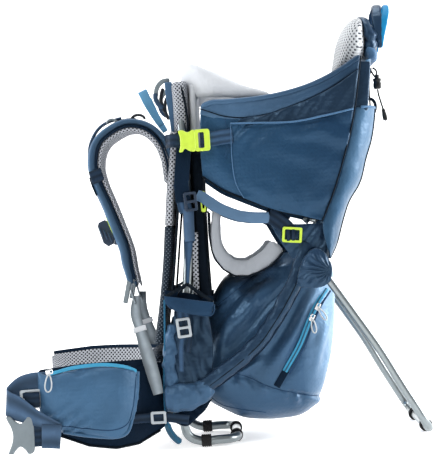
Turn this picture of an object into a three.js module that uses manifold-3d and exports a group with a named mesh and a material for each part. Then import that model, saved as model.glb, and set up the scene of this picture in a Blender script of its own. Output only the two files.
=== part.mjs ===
// Framed child carrier backpack, standing on its base loop and its folded-out kickstand.
// Millimetres, +Z up. The wearer faces -X and the child sits behind, so +X is the rear; left is -Y.
// The origin is on the ground, under the middle of the carrier's footprint.
import * as THREE from "three";
import Module from "manifold-3d";
import { mergeVertices } from "three/addons/utils/BufferGeometryUtils.js";

const wasm = await Module();
wasm.setup();

// Driving dimensions
const frameRadius = 8; // back hoop and diagonal side tubes
const baseRadius = 7.5; // base loop
const kickRadius = 7; // kickstand tube
const rearRadius = 6; // hoop round the child's back
const gripRadius = 10.5; // rubber rings that touch the ground
const baseHalfWidth = 100;
const kickHalfWidth = 150;
const sideTubeY = 129;
const seatHalfWidth = 112; // bag and seat sling
const cockpitHalfWidth = 144; // inner face of the cockpit's side panels
const pivot = { x: 174, z: 279 }; // kickstand hinge
const pinRadius = 4;
const runningGap = 0.08; // pin to eye
const backHalfWidth = 132;
const hipHinge = { x: -118, y: 122 }; // where a hip wing leaves the lumbar pad
const wingThickness = 14;
const padThickness = 18; // shoulder pads
const padInnerY = 65;
const padOuterY = 125;
const legPadWidth = 18;
const webbingThickness = 3;
const sides = [
  ["left", -1],
  ["right", 1],
];

// Colours
const aluminium = { color: 0x8f9496, roughness: 0.35, metalness: 1 };
const rubber = { color: 0x1c1d1f, roughness: 0.85, metalness: 0 };
const blackPlastic = { color: 0x202226, roughness: 0.5, metalness: 0 };
const greyPlastic = { color: 0x9aa0a0, roughness: 0.45, metalness: 0 };
const limePlastic = { color: 0xd7ec4a, roughness: 0.4, metalness: 0 };
const silver = { color: 0xc9ccce, roughness: 0.3, metalness: 1 };
const blueFabric = { color: 0x34557f, roughness: 0.8, metalness: 0 };
const navyFabric = { color: 0x1d2e4c, roughness: 0.85, metalness: 0 };
const lightBlue = { color: 0x6f97bd, roughness: 0.8, metalness: 0 };
const greyFabric = { color: 0xc7cacd, roughness: 0.85, metalness: 0 };
const greyMesh = { color: 0xb4b8bc, roughness: 0.9, metalness: 0 };
const darkMesh = { color: 0x232b38, roughness: 0.9, metalness: 0 };

const carrier = new THREE.Group();

function add(name, geometry, look) {
  const mesh = new THREE.Mesh(geometry, new THREE.MeshStandardMaterial(look));
  mesh.name = name;
  carrier.add(mesh);
  return mesh;
}

const flat = (points) => points.map(([a, b]) => new THREE.Vector2(a, b));

// An outline with straight edges.
const polygon = (points) => new THREE.Shape(flat(points));

// A closed outline that runs smoothly through a few points.
function smooth(points, divisions) {
  const loop = flat([...points, points[0]]).map((p) => new THREE.Vector3(p.x, p.y, 0));
  const curve = new THREE.CatmullRomCurve3(loop.slice(0, -1), true, "centripetal");
  return new THREE.Shape(curve.getPoints(divisions).slice(0, -1).map((p) => new THREE.Vector2(p.x, p.y)));
}

// The outline of a band of even thickness along a curve through the points.
function band(points, thickness, divisions) {
  const curve = new THREE.SplineCurve(flat(points));
  const one = [];
  const other = [];
  for (let i = 0; i <= divisions; i++) {
    const at = curve.getPointAt(i / divisions);
    const along = curve.getTangentAt(i / divisions);
    const off = new THREE.Vector2(-along.y, along.x).multiplyScalar(thickness / 2);
    one.push(at.clone().add(off));
    other.unshift(at.clone().sub(off));
  }
  return new THREE.Shape([...one, ...other]);
}

// A side outline (X, Z) made solid from y = low to y = high.
function across(shape, low, high) {
  const solid = new THREE.ExtrudeGeometry(shape, { depth: high - low, bevelEnabled: false });
  return solid.rotateX(Math.PI / 2).translate(0, high, 0);
}

// The same, given as distances from the centre plane on one side.
const sideways = (shape, near, far, side) =>
  across(shape, Math.min(side * near, side * far), Math.max(side * near, side * far));

// A plan outline (X, Y) made solid from z = low to z = high.
const upward = (shape, low, high) =>
  new THREE.ExtrudeGeometry(shape, { depth: high - low, bevelEnabled: false }).translate(0, 0, low);

function ring(radius, count) {
  const corners = Array.from({ length: count }, (_, i) => (2 * Math.PI * (i + 0.5)) / count);
  return new THREE.Shape(corners.map((a) => new THREE.Vector2(radius * Math.cos(a), radius * Math.sin(a))));
}

function curve3(points) {
  return new THREE.CatmullRomCurve3(points.map((p) => new THREE.Vector3(...p)), false, "centripetal");
}

const tube = (points, radius, steps, count = 10) =>
  new THREE.ExtrudeGeometry(ring(radius, count), { steps, extrudePath: curve3(points), bevelEnabled: false });

// A round bar along Y.
const barY = (radius, x, z, low, high, count = 20) =>
  new THREE.CylinderGeometry(radius, radius, high - low, count).translate(x, (low + high) / 2, z);

function solidOf(geometry) {
  const bare = new THREE.BufferGeometry();
  bare.setAttribute("position", geometry.getAttribute("position").clone());
  if (geometry.index) bare.setIndex(geometry.index.clone());
  const merged = mergeVertices(bare, 1e-4);
  const vertProperties = Float32Array.from(merged.getAttribute("position").array);
  return new wasm.Manifold(
    new wasm.Mesh({ numProp: 3, vertProperties, triVerts: Uint32Array.from(merged.index.array) }),
  );
}

function geometryOf(solid) {
  const mesh = solid.getMesh();
  const geometry = new THREE.BufferGeometry();
  geometry.setAttribute("position", new THREE.BufferAttribute(Float32Array.from(mesh.vertProperties), 3));
  geometry.setIndex(new THREE.BufferAttribute(Uint32Array.from(mesh.triVerts), 1));
  return geometry;
}

const join = (first, ...rest) => geometryOf(rest.reduce((sum, g) => sum.add(solidOf(g)), solidOf(first)));
const cut = (first, ...rest) => geometryOf(rest.reduce((sum, g) => sum.subtract(solidOf(g)), solidOf(first)));
const overlap = (a, b) => geometryOf(solidOf(a).intersect(solidOf(b)));
const box = (x, y, z) =>
  new THREE.BoxGeometry(x[1] - x[0], y[1] - y[0], z[1] - z[0]).translate(
    (x[0] + x[1]) / 2,
    (y[0] + y[1]) / 2,
    (z[0] + z[1]) / 2,
  );

// Points of one half of a symmetric tube, then the same points mirrored.
const mirrored = (half) => [...half.map(([x, y, z]) => [x, -y, z]), ...[...half].reverse()];

// ---- Metal frame ----
const tubeJointZ = 78; // base loop's upper ends push into the back hoop here
const backHoopHalf = [
  [-66, 112, tubeJointZ],
  [-64, 122, 160],
  [-52, 124, 300],
  [-40, 124, 420],
  [-38.5, 121, 520],
  [-38.5, 106, 568],
  [-38.5, 70, 586],
];
add("back_hoop", tube(mirrored(backHoopHalf), frameRadius, 56), aluminium);

const baseLoopHalf = [
  [-66, 112, tubeJointZ - 0.4],
  [-65, 108, 44],
  [-58, 103, 20],
  [-40, baseHalfWidth, gripRadius],
  [-10, baseHalfWidth, gripRadius],
  [8, baseHalfWidth - 4, gripRadius],
  [20, baseHalfWidth - 24, gripRadius],
  [20, 30, gripRadius],
];
add("base_loop", tube(mirrored(baseLoopHalf), baseRadius, 60), aluminium);

const sideTubePath = [
  [-46, 90],
  [-18, 95],
  [32, 125],
  [70, 163],
  [102, 210],
  [125, 252],
  [140, 288],
  [162, 350],
];
for (const [name, side] of sides) {
  const path = sideTubePath.map(([x, z]) => [x, side * sideTubeY, z]);
  add("side_tube_" + name, tube(path, frameRadius, 20), aluminium);
}

const rearHoopHalf = [
  [165, sideTubeY, 357],
  [198, 126, 397],
  [217, 122, 447],
  [243, 112, 534],
  [262, 88, 594],
  [268, 40, 611],
];
add("rear_hoop", tube(mirrored(rearHoopHalf), rearRadius, 44), aluminium);

// ---- Kickstand and its hinge ----
const eyeRadius = 10;
const eyeWidth = 14;
const kickHalf = [
  [pivot.x, kickHalfWidth, pivot.z],
  [230, kickHalfWidth, 191],
  [259, kickHalfWidth, 144],
  [288, kickHalfWidth, 90],
  [312, kickHalfWidth, 47],
  [326, kickHalfWidth - 4, 22],
  [332, kickHalfWidth - 22, 12],
  [333, kickHalfWidth - 46, gripRadius],
  [333, 50, gripRadius],
];
const eyes = sides.map(([, side]) =>
  barY(eyeRadius, pivot.x, pivot.z, side * kickHalfWidth - eyeWidth / 2, side * kickHalfWidth + eyeWidth / 2),
);
const pinHoles = sides.map(([, side]) =>
  barY(pinRadius + runningGap, pivot.x, pivot.z, side * kickHalfWidth - 20, side * kickHalfWidth + 20),
);
add("kickstand", cut(join(tube(mirrored(kickHalf), kickRadius, 66), ...eyes), ...pinHoles), aluminium);

const plateNear = 137.5;
const plateFar = 142.5;
// Each side has a plate with a pin riveted through it; the pin's head keeps the kickstand's eye on.
for (const [name, side] of sides) {
  const plate = smooth([[150, 272], [168, 262], [188, 272], [190, 290], [174, 300], [158, 300]], 20);
  const shank = barY(pinRadius, pivot.x, pivot.z, ...[side * 140, side * 158].sort((a, b) => a - b));
  const head = barY(7, pivot.x, pivot.z, ...[side * 157.6, side * 159.8].sort((a, b) => a - b));
  add("hinge_bracket_" + name, join(sideways(plate, plateNear, plateFar, side), shank, head), silver);
}

// A rubber ring on a tube, bored to clear it. It has a flat underneath to stand on.
const gripLength = 16;
const gripGap = 0.3;
const baseBore = tube(mirrored(baseLoopHalf), baseRadius + gripGap, 60);
const kickBore = tube(mirrored(kickHalf), kickRadius + gripGap, 66);
const gripSection = ring(gripRadius / Math.cos(Math.PI / 12), 12);
function grip(x, y, alongY, bore) {
  const blank = new THREE.ExtrudeGeometry(gripSection, { depth: gripLength, bevelEnabled: false });
  blank.translate(0, 0, -gripLength / 2);
  if (alongY) blank.rotateX(Math.PI / 2);
  else blank.rotateY(Math.PI / 2);
  return cut(blank.translate(x, y, gripRadius), bore);
}
for (const [name, side] of sides) {
  add("base_grip_front_" + name, grip(-30, side * baseHalfWidth, false, baseBore), rubber);
  add("base_grip_rear_" + name, grip(20, side * 52, true, baseBore), rubber);
  add("kick_grip_" + name, grip(333, side * 80, true, kickBore), rubber);
}

// ---- Wearer's back: mesh panel and lumbar pad ----
const backOutline = [
  [-107, 172], [-86, 262], [-70, 364], [-66, 407], [-64, 440], [-62, 472], [-59, 537], [-54, 603],
  [-49, 608], [-47, 596], [-47, 519], [-50, 418], [-56, 363], [-73, 245], [-82, 172],
];
add("back_panel", across(polygon(backOutline), -backHalfWidth, backHalfWidth), greyMesh);
const lumbarOutline = [
  [-108, 168], [-120, 140], [-124, 100], [-120, 60], [-104, 32], [-88, 34], [-80, 100], [-83, 168],
];
add("lumbar_pad", across(polygon(lumbarOutline), -108, 108), darkMesh);

// ---- Hip belt ----
const wingPlan = [[hipHinge.x, hipHinge.y], [-150, 146], [-200, 163], [-292, 172]];
const wingOutline = [
  [-300, 140], [-286, 147], [-222, 151], [-179, 151], [-140, 150], [-105, 146], [-105, 40], [-140, 17],
  [-175, 15], [-217, 23], [-262, 42], [-290, 90],
];
const pocketOutline = [
  [-290, 143], [-270, 148], [-222, 150], [-179, 149], [-147, 145], [-137, 135], [-133, 108],
  [-146, 45], [-160, 33], [-213, 38], [-262, 48], [-284, 80],
];
const pocketPlan = [[-290, 183.5], [-262, 196], [-160, 186], [-137, 158], [-160, 164], [-200, 174], [-262, 181]];
const hipWebPlan = [[-296, 173], [-322, 176], [-340, 184], [-328, 194], [-292, 199], [-256, 202]];
const hipWebOutline = [
  [-290, 146], [-346, 146], [-346, 84], [-294, 82], [-291, 24], [-255, 26], [-255, 66], [-290, 100],
];
const mirrorPlan = (points, side) => points.map(([x, y]) => [x, side * y]);
const turned = (points, side) => (side < 0 ? [...points].reverse() : points);
for (const [name, side] of sides) {
  const rootEnd = new THREE.CylinderGeometry(wingThickness / 2, wingThickness / 2, 106, 12)
    .rotateX(Math.PI / 2)
    .translate(hipHinge.x, side * hipHinge.y, 93);
  const wingBand = upward(band(mirrorPlan(wingPlan, side), wingThickness, 16), 0, 170);
  const wing = overlap(wingBand, across(polygon(wingOutline), -230, 230));
  add("hip_wing_" + name, join(wing, rootEnd), navyFabric);
  const pocketBlock = upward(polygon(turned(mirrorPlan(pocketPlan, side), side)), 0, 170);
  add("hip_pocket_" + name, overlap(pocketBlock, across(polygon(pocketOutline), -230, 230)), blueFabric);
  const webBand = upward(band(mirrorPlan(hipWebPlan, side), webbingThickness, 22), 0, 170);
  add("hip_webbing_" + name, overlap(webBand, across(polygon(hipWebOutline), -230, 230)), blueFabric);
  const slider = across(polygon([[-276, 144], [-262, 144], [-262, 153], [-276, 153]]), -4, 4);
  slider.translate(0, side * 202, 0);
  add("hip_zip_slider_" + name, slider, silver);
}

// Hip buckle: an X-shaped socket on the left webbing, a two-pronged plug on the right one.
const socketOutline = [
  [-342, 80], [-334, 80], [-324, 68], [-314, 80], [-306, 80], [-301, 74], [-301, 28], [-306, 21],
  [-314, 21], [-324, 33], [-334, 21], [-342, 21], [-334, 50],
];
const hipSocketY = [-205, -193];
const cavity = box([-345, -308], [-202, -196], [38, 63]);
const webSlot = box([-306.5, -303], [-207, -191], [34, 67]);
add("hip_buckle_socket", cut(across(polygon(socketOutline), ...hipSocketY), cavity, webSlot), greyPlastic);
const plugOutline = [
  [-343.5, 40], [-336, 31], [-318, 36], [-318, 24], [-301, 22], [-301, 80], [-318, 78], [-318, 66], [-336, 71],
  [-343.5, 62], [-338, 62], [-322, 58], [-322, 44], [-338, 40],
];
const plugSlot = box([-307.5, -304], [193, 207], [34, 68]);
add("hip_buckle_plug", cut(across(polygon(plugOutline), 195, 205), plugSlot), greyPlastic);

// ---- Shoulder harness ----
const padPath = [
  [-77, 445], [-77, 480], [-84, 507], [-101, 528], [-126, 533], [-151, 525], [-173, 507],
  [-182, 475], [-177, 445], [-165, 412], [-150, 368], [-140, 335], [-136, 303], [-131, 273],
];
const clipOutline = [[-187, 372], [-169, 385], [-155, 342], [-166, 334], [-181, 348]];

// A two-slot strap adjuster: a plate that faces +X, with its slots along Y.
function ladder(width, height, thickness, slotHeight) {
  const shape = polygon([
    [-width / 2, -height / 2 + 3], [-width / 2 + 3, -height / 2], [width / 2 - 3, -height / 2],
    [width / 2, -height / 2 + 3], [width / 2, height / 2 - 3], [width / 2 - 3, height / 2],
    [-width / 2 + 3, height / 2], [-width / 2, height / 2 - 3],
  ]);
  for (const centre of [-height / 4.4, height / 4.4]) {
    const half = width / 2 - 4;
    shape.holes.push(new THREE.Path(flat([
      [-half, centre + slotHeight / 2], [half, centre + slotHeight / 2],
      [half, centre - slotHeight / 2], [-half, centre - slotHeight / 2],
    ])));
  }
  const plate = new THREE.ExtrudeGeometry(shape, { depth: thickness, bevelEnabled: false });
  return plate.translate(0, 0, -thickness / 2).rotateX(Math.PI / 2).rotateZ(Math.PI / 2);
}
const ladderCentre = { x: -147, z: 259 };
for (const [name, side] of sides) {
  add("shoulder_pad_" + name, sideways(band(padPath, padThickness, 40), padInnerY, padOuterY, side), blueFabric);
  add("sternum_clip_" + name, sideways(polygon(clipOutline), 84, 106, side), greyPlastic);
  const plate = ladder(32, 38, 6, 7).rotateY(-0.22).translate(ladderCentre.x, side * 95, ladderCentre.z);
  add("shoulder_ladder_" + name, plate, greyPlastic);
}


// Flat webbing from each adjuster down to the hip belt. It leans outwards to pass the hip wing's root.
const webbingOutline = [
  [-135, 252], [-140, 226], [-132, 197], [-127, 170], [-122, 144], [-111, 94], [-95, 97], [-94, 126],
  [-106, 174], [-117, 205], [-122, 226], [-123, 252],
];
const webbingLowY = 141.5;
const webbingLean = (z) => Math.max(0, z - 170) * 0.5;
for (const [name, side] of sides) {
  const strap = sideways(polygon(webbingOutline), webbingLowY - 1.2, webbingLowY + 1.2, side);
  const at = strap.getAttribute("position");
  for (let i = 0; i < at.count; i++) at.setY(i, at.getY(i) - side * webbingLean(at.getZ(i)));
  add("shoulder_webbing_" + name, strap, greyFabric);
}

// ---- Child's cockpit ----
const cockpitOutline = [
  [-9, 480], [-7, 523], [-5, 545], [4, 557], [14, 563], [31, 562], [78, 563], [125, 568], [172, 579],
  [216, 597], [258, 622], [262, 610], [256, 578], [243, 534], [232, 493], [217, 447], [198, 397], [179, 357],
  [149, 366], [102, 380], [48, 404], [22, 417], [5, 428], [-8, 440],
];
for (const [name, side] of sides) {
  const panel = sideways(polygon(cockpitOutline), cockpitHalfWidth, cockpitHalfWidth + 12, side);
  add("cockpit_side_" + name, panel, blueFabric);
}
const rearOutline = [
  [193, 302], [213, 333], [219, 354], [232, 384], [249, 412], [260, 441], [272, 481], [278, 511], [282, 535],
  [284, 570], [285, 604], [277, 604], [271, 584], [254, 534], [243, 493], [228, 447], [209, 397], [190, 357],
];
add("rear_panel", across(polygon(rearOutline), -136, 136), lightBlue);
add("front_wall", across(polygon([[-27, 240], [-5, 262], [-6, 360], [-6, 420], [-8, 520], [-27, 520]]), -128, 128), darkMesh);
const chinOutline = smooth([
  [-26, 530], [-27, 570], [-28, 602], [-19, 626], [-5, 634], [15, 628], [39, 612], [64, 599], [89, 590],
  [110, 578], [96, 568], [60, 564], [24, 560], [0, 545], [-10, 530],
], 44);
const chinHollow = box([14, 140], [-108, 108], [520, 650]);
add("chin_pad", cut(across(chinOutline, -136, 136), chinHollow), greyFabric);

const slingPath = [[6, 380], [3, 345], [10, 312], [28, 292], [52, 287], [76, 294], [98, 309], [110, 323]];
add("seat_sling", across(band(slingPath, 8, 20), 1 - seatHalfWidth, seatHalfWidth - 1), greyFabric);
const legPadPath = [[8, 392], [6, 350], [9, 325], [20, 302], [40, 288], [58, 288], [78, 297], [97, 312], [108, 326]];
for (const [name, side] of sides) {
  const pad = sideways(band(legPadPath, 17, 22), seatHalfWidth + 0.5, seatHalfWidth + legPadWidth, side);
  add("leg_pad_" + name, pad, greyFabric);
}

// Strap over each leg opening, from the front wall to the hinge's cover.
const legStrapOutline = [
  [-22, 411], [-10, 402], [3, 386], [32, 372], [60, 364], [92, 359], [94, 376], [58, 381], [30, 390],
  [13, 402], [-3, 416], [-16, 424],
];
for (const [name, side] of sides) {
  add("leg_strap_" + name, sideways(polygon(legStrapOutline), 137.5, 140.5, side), lightBlue);
}

const headOutline = [
  [222, 607], [228, 648], [244, 680], [268, 694], [284, 684], [288, 655], [284, 634], [262, 628], [252, 612],
  [246, 600], [234, 592],
];
add("headrest", across(smooth(headOutline, 30), -76, 76), greyMesh);

// Grab loop over the headrest: a flat band bent into an arch, 26 mm wide.
const handleHalf = [[304, 42, 640], [304, 44, 666], [306, 38, 692], [309, 22, 709], [310, 8, 714]];
const handleSection = new THREE.Shape(flat([[-12, -3], [12, -3], [12, 3], [-12, 3]]));
const handlePath = curve3(mirrored(handleHalf));
add(
  "handle_loop",
  new THREE.ExtrudeGeometry(handleSection, { steps: 26, extrudePath: handlePath, bevelEnabled: false }),
  navyFabric,
);

// ---- Storage bag under the seat ----
const bagOutline = [
  [20, 276], [-5, 240], [-25, 176], [-36, 118], [-34, 84], [5, 51], [33, 38], [69, 32], [97, 32], [128, 35], [145, 43],
  [157, 53], [163, 67], [172, 88], [179, 115], [188, 152], [193, 188], [196, 227], [197, 255], [197, 276],
  [189, 296], [160, 300], [118, 304], [100, 292], [80, 276], [54, 268], [36, 270],
];
add("storage_bag", across(polygon(bagOutline), -seatHalfWidth, seatHalfWidth), blueFabric);

// Two zip sliders on the left side of the bag, one above the other on a straight zip.
const zipTop = { x: 183, z: 246 };
const zipDown = new THREE.Vector2(-87, -137).normalize();
function bagSlider(distance) {
  const at = new THREE.Vector2(zipTop.x, zipTop.z).addScaledVector(zipDown, distance);
  const plate = polygon([[-7, -4], [7, -4], [7, 4], [-7, 4]]);
  const tilt = Math.atan2(zipDown.y, zipDown.x);
  return across(plate, -4, 4).rotateY(-tilt).translate(at.x, -118, at.y);
}
add("bag_zip_slider_upper", bagSlider(33), silver);
add("bag_zip_slider_lower", bagSlider(53), silver);

// Fabric cover over each kickstand hinge.
const bootOutline = smooth(
  [[112, 280], [114, 258], [138, 250], [170, 250], [190, 256], [194, 275], [188, 298], [172, 316], [140, 318], [120, 305]],
  28,
);
for (const [name, side] of sides) add("boot_" + name, sideways(bootOutline, 160.2, 166, side), navyFabric);

// ---- Foot stirrups: trays that are open at the top ----
const stirrupOutline = [[-84, 258], [-80, 238], [-66, 228], [-8, 219], [-4, 226], [-4, 246]];
for (const [name, side] of sides) {
  const tray = sideways(polygon(stirrupOutline), 138, 182, side);
  const hollow = sideways(polygon([[-78, 270], [-75, 242], [-62, 233], [-12, 225], [-9, 270]]), 142, 178, side);
  add("stirrup_" + name, cut(tray, hollow), navyFabric);
}

// ---- Side-release buckles that close the cockpit ----
const buckleZ = [483, 519];
for (const [name, side] of sides) {
  const y = (near, far) => [side * near, side * far].sort((a, b) => a - b);
  const shell = box([-52, -20], y(158, 170), buckleZ);
  const room = box([-44, -10], y(160.5, 167.5), [487, 515]);
  const slot = box([-49, -46.5], y(150, 180), [489, 513]);
  const window1 = box([-38, -26], y(160.5, 167.5), [470, 530]);
  add("side_socket_" + name, cut(shell, room, slot, window1), limePlastic);
  const plugBody = polygon([
    [-19, 484], [8, 484], [8, 518], [-19, 518], [-19, 511], [-26, 513.5], [-38, 511.5], [-38, 507], [-19, 504],
    [-19, 498], [-38, 495], [-38, 490.5], [-26, 488.5], [-19, 491],
  ]);
  const nearSlot = box([-8, -3.5], y(150, 180), [489, 513]);
  const farSlot = box([0.5, 4], y(150, 180), [489, 513]);
  add("side_plug_" + name, cut(sideways(plugBody, 161, 167, side), nearSlot, farSlot), limePlastic);
}

// ---- Drawcord of the stowed rain cover, with its lock and end pull ----
const lockCentre = { x: 294, z: 584 };
const cordX = 297;
const cordBottomZ = 541;
const barrel = new THREE.LatheGeometry(
  flat([[0, -9], [6, -9], [7, -6], [7, 9], [4.4, 9], [4.4, -2], [0, -2]]),
  14,
);
add("cord_lock_barrel", barrel.rotateX(Math.PI / 2).translate(lockCentre.x + 3, 0, lockCentre.z), blackPlastic);
const plunger = new THREE.CylinderGeometry(4, 4, 14, 14).rotateX(Math.PI / 2);
add("cord_lock_plunger", plunger.translate(lockCentre.x + 3, 0, lockCentre.z + 9), blackPlastic);
const cordPath = [
  [cordX, 0, lockCentre.z - 9.4], [cordX + 1, 0, 566], [cordX + 4, 0, 553], [cordX + 7, 0, cordBottomZ],
];
const pullEnd = new THREE.CylinderGeometry(2.6, 4, 22, 10).rotateX(-Math.PI / 2).rotateY(-0.2);
pullEnd.translate(cordX + 9, 0, cordBottomZ - 9);
add("drawcord", join(tube(cordPath, 1.5, 10, 8), pullEnd), blackPlastic);

export default carrier;
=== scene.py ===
import math

import bmesh
import bpy
import numpy as np
from mathutils import Matrix, Vector


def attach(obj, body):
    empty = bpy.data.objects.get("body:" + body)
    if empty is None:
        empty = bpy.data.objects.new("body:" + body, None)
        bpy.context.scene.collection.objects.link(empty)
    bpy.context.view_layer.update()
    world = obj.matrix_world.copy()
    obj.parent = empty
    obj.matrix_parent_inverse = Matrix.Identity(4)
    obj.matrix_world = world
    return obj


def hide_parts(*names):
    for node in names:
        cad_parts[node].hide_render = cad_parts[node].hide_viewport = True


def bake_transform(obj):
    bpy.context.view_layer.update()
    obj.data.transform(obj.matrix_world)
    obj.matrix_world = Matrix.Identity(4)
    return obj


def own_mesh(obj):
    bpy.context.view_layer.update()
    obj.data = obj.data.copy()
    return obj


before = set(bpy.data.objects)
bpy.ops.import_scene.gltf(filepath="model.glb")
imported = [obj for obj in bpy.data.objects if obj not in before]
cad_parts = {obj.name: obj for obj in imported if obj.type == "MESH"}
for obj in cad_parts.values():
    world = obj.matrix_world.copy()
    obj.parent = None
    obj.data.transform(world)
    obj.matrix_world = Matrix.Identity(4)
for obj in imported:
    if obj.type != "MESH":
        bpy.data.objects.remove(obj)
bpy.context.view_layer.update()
sides = (("left", -1), ("right", 1))
print("frame loaded")


# curves and surfaces are worked out in millimetres, and the meshes are in metres
mm = 0.001


def smoothPath(points, count, closed=False):
    # centripetal Catmull-Rom curve through the points, sampled at equal steps of its length
    p = np.asarray(points, float)
    if closed:
        ext = np.vstack([p[-1], p, p[0], p[1]])
    else:
        ext = np.vstack([2 * p[0] - p[1], p, 2 * p[-1] - p[-2]])
    knots = np.concatenate([[0], np.cumsum(np.sqrt(np.linalg.norm(np.diff(ext, axis=0), axis=1)) + 1e-6)])
    spans = len(ext) - 3
    t = np.linspace(0, spans, spans * 24 + 1)
    i = np.minimum(t.astype(int), spans - 1)
    k0, k1, k2, k3 = (knots[i + n][:, None] for n in range(4))
    x = k1 + (t - i)[:, None] * (k2 - k1)
    a, b, c, d = ext[i], ext[i + 1], ext[i + 2], ext[i + 3]
    ab = (a * (k1 - x) + b * (x - k0)) / (k1 - k0)
    bc = (b * (k2 - x) + c * (x - k1)) / (k2 - k1)
    cd = (c * (k3 - x) + d * (x - k2)) / (k3 - k2)
    abc = (ab * (k2 - x) + bc * (x - k0)) / (k2 - k0)
    bcd = (bc * (k3 - x) + cd * (x - k1)) / (k3 - k1)
    fine = (abc * (k2 - x) + bcd * (x - k1)) / (k2 - k1)
    length = runLength(fine)
    want = np.linspace(0, length[-1], count + int(closed))[:count]
    return np.stack([np.interp(want, length, fine[:, n]) for n in range(p.shape[1])], 1)


def runLength(points):
    # distance travelled along a line of points, starting at 0
    return np.concatenate([[0], np.cumsum(np.linalg.norm(np.diff(points, axis=0), axis=1))])


def sidePath(points, side, count):
    # a curve given for one side of the carrier, taken to the side asked for
    return smoothPath(np.array(points, float) * [1, side, 1], count)


def folds(a, b, seed, size):
    # sum of sine waves in scattered directions, each about one fold size long: from -1 to 1
    waves = 6
    rng = np.random.default_rng(seed)
    total = np.zeros(np.broadcast(a, b).shape)
    for _ in range(waves):
        angle, phase = rng.uniform(0, 2 * np.pi, 2)
        wave = size * rng.uniform(0.6, 1.6)
        total = total + np.sin(2 * np.pi * (a * np.cos(angle) + b * np.sin(angle)) / wave + phase)
    gain = 1.6  # brings the usual heights up to about 1
    return total / waves * gain


def meshObject(name, verts, faces, uv, material, smooth=True, tris=None):
    # a closed mesh in metres; its faces are turned outwards when its signed volume is negative
    verts = np.asarray(verts, float).reshape(-1, 3) * mm
    quads = np.asarray(faces)
    volume = 0.0
    for group in [quads[:, [0, 1, 2]], quads[:, [0, 2, 3]]] + ([tris] if tris is not None else []):
        a, b, c = verts[group[:, 0]], verts[group[:, 1]], verts[group[:, 2]]
        volume += np.einsum("ij,ij->i", a, np.cross(b, c)).sum()
    flip = volume < 0
    quads = quads[:, ::-1] if flip else quads
    uv = uv[:, ::-1] if flip else uv
    loops = quads.reshape(-1)
    starts = np.arange(len(quads)) * 4
    totals = np.full(len(quads), 4)
    uvAll = uv.reshape(-1, 2)
    if tris is not None:
        turned = tris[:, ::-1] if flip else tris
        starts = np.concatenate([starts, len(loops) + np.arange(len(turned)) * 3])
        totals = np.concatenate([totals, np.full(len(turned), 3)])
        loops = np.concatenate([loops, turned.reshape(-1)])
        uvAll = np.vstack([uvAll, verts[turned.reshape(-1)][:, [0, 2]]])
    mesh = bpy.data.meshes.new(name)
    mesh.vertices.add(len(verts))
    mesh.vertices.foreach_set("co", verts.astype(np.float32).ravel())
    mesh.loops.add(len(loops))
    mesh.loops.foreach_set("vertex_index", loops.astype(np.int32))
    mesh.polygons.add(len(starts))
    mesh.polygons.foreach_set("loop_start", starts.astype(np.int32))
    mesh.polygons.foreach_set("loop_total", totals.astype(np.int32))
    mesh.polygons.foreach_set("use_smooth", np.full(len(starts), smooth))
    layer = mesh.uv_layers.new(name="UVMap")
    layer.data.foreach_set("uv", uvAll.astype(np.float32).ravel())
    mesh.update()
    mesh.validate()
    if material:
        mesh.materials.append(material)
    obj = bpy.data.objects.new(name, mesh)
    bpy.context.scene.collection.objects.link(obj)
    return obj


def cornerUv(along, across, rows, cols):
    # texture place of each face corner, from the length along and across the surface in metres
    a, b = np.meshgrid(np.arange(rows), np.arange(cols), indexing="ij")
    pairs = [(a, b), (a + 1, b), (a + 1, b + 1), (a, b + 1)]
    return np.stack([np.stack([along[p], across[q]], -1) for p, q in pairs], 2).reshape(-1, 4, 2) * mm


def gridFaces(rows, cols, wrap):
    # quads between neighbouring points of a grid; the columns may close round
    a, b = np.meshgrid(np.arange(rows - 1), np.arange(cols if wrap else cols - 1), indexing="ij")
    b2 = (b + 1) % cols
    return np.stack([a * cols + b, (a + 1) * cols + b, (a + 1) * cols + b2, a * cols + b2], -1).reshape(-1, 4)


def ringPoints(width, thick, power=2.0, count=20):
    # superellipse |x / (width / 2)|^power + |y / (thick / 2)|^power = 1
    t = 2 * np.pi * np.arange(count) / count
    c, s = np.cos(t), np.sin(t)
    return np.stack([width / 2 * np.sign(c) * np.abs(c) ** (2 / power), thick / 2 * np.sign(s) * np.abs(s) ** (2
        / power)], 1)


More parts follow.
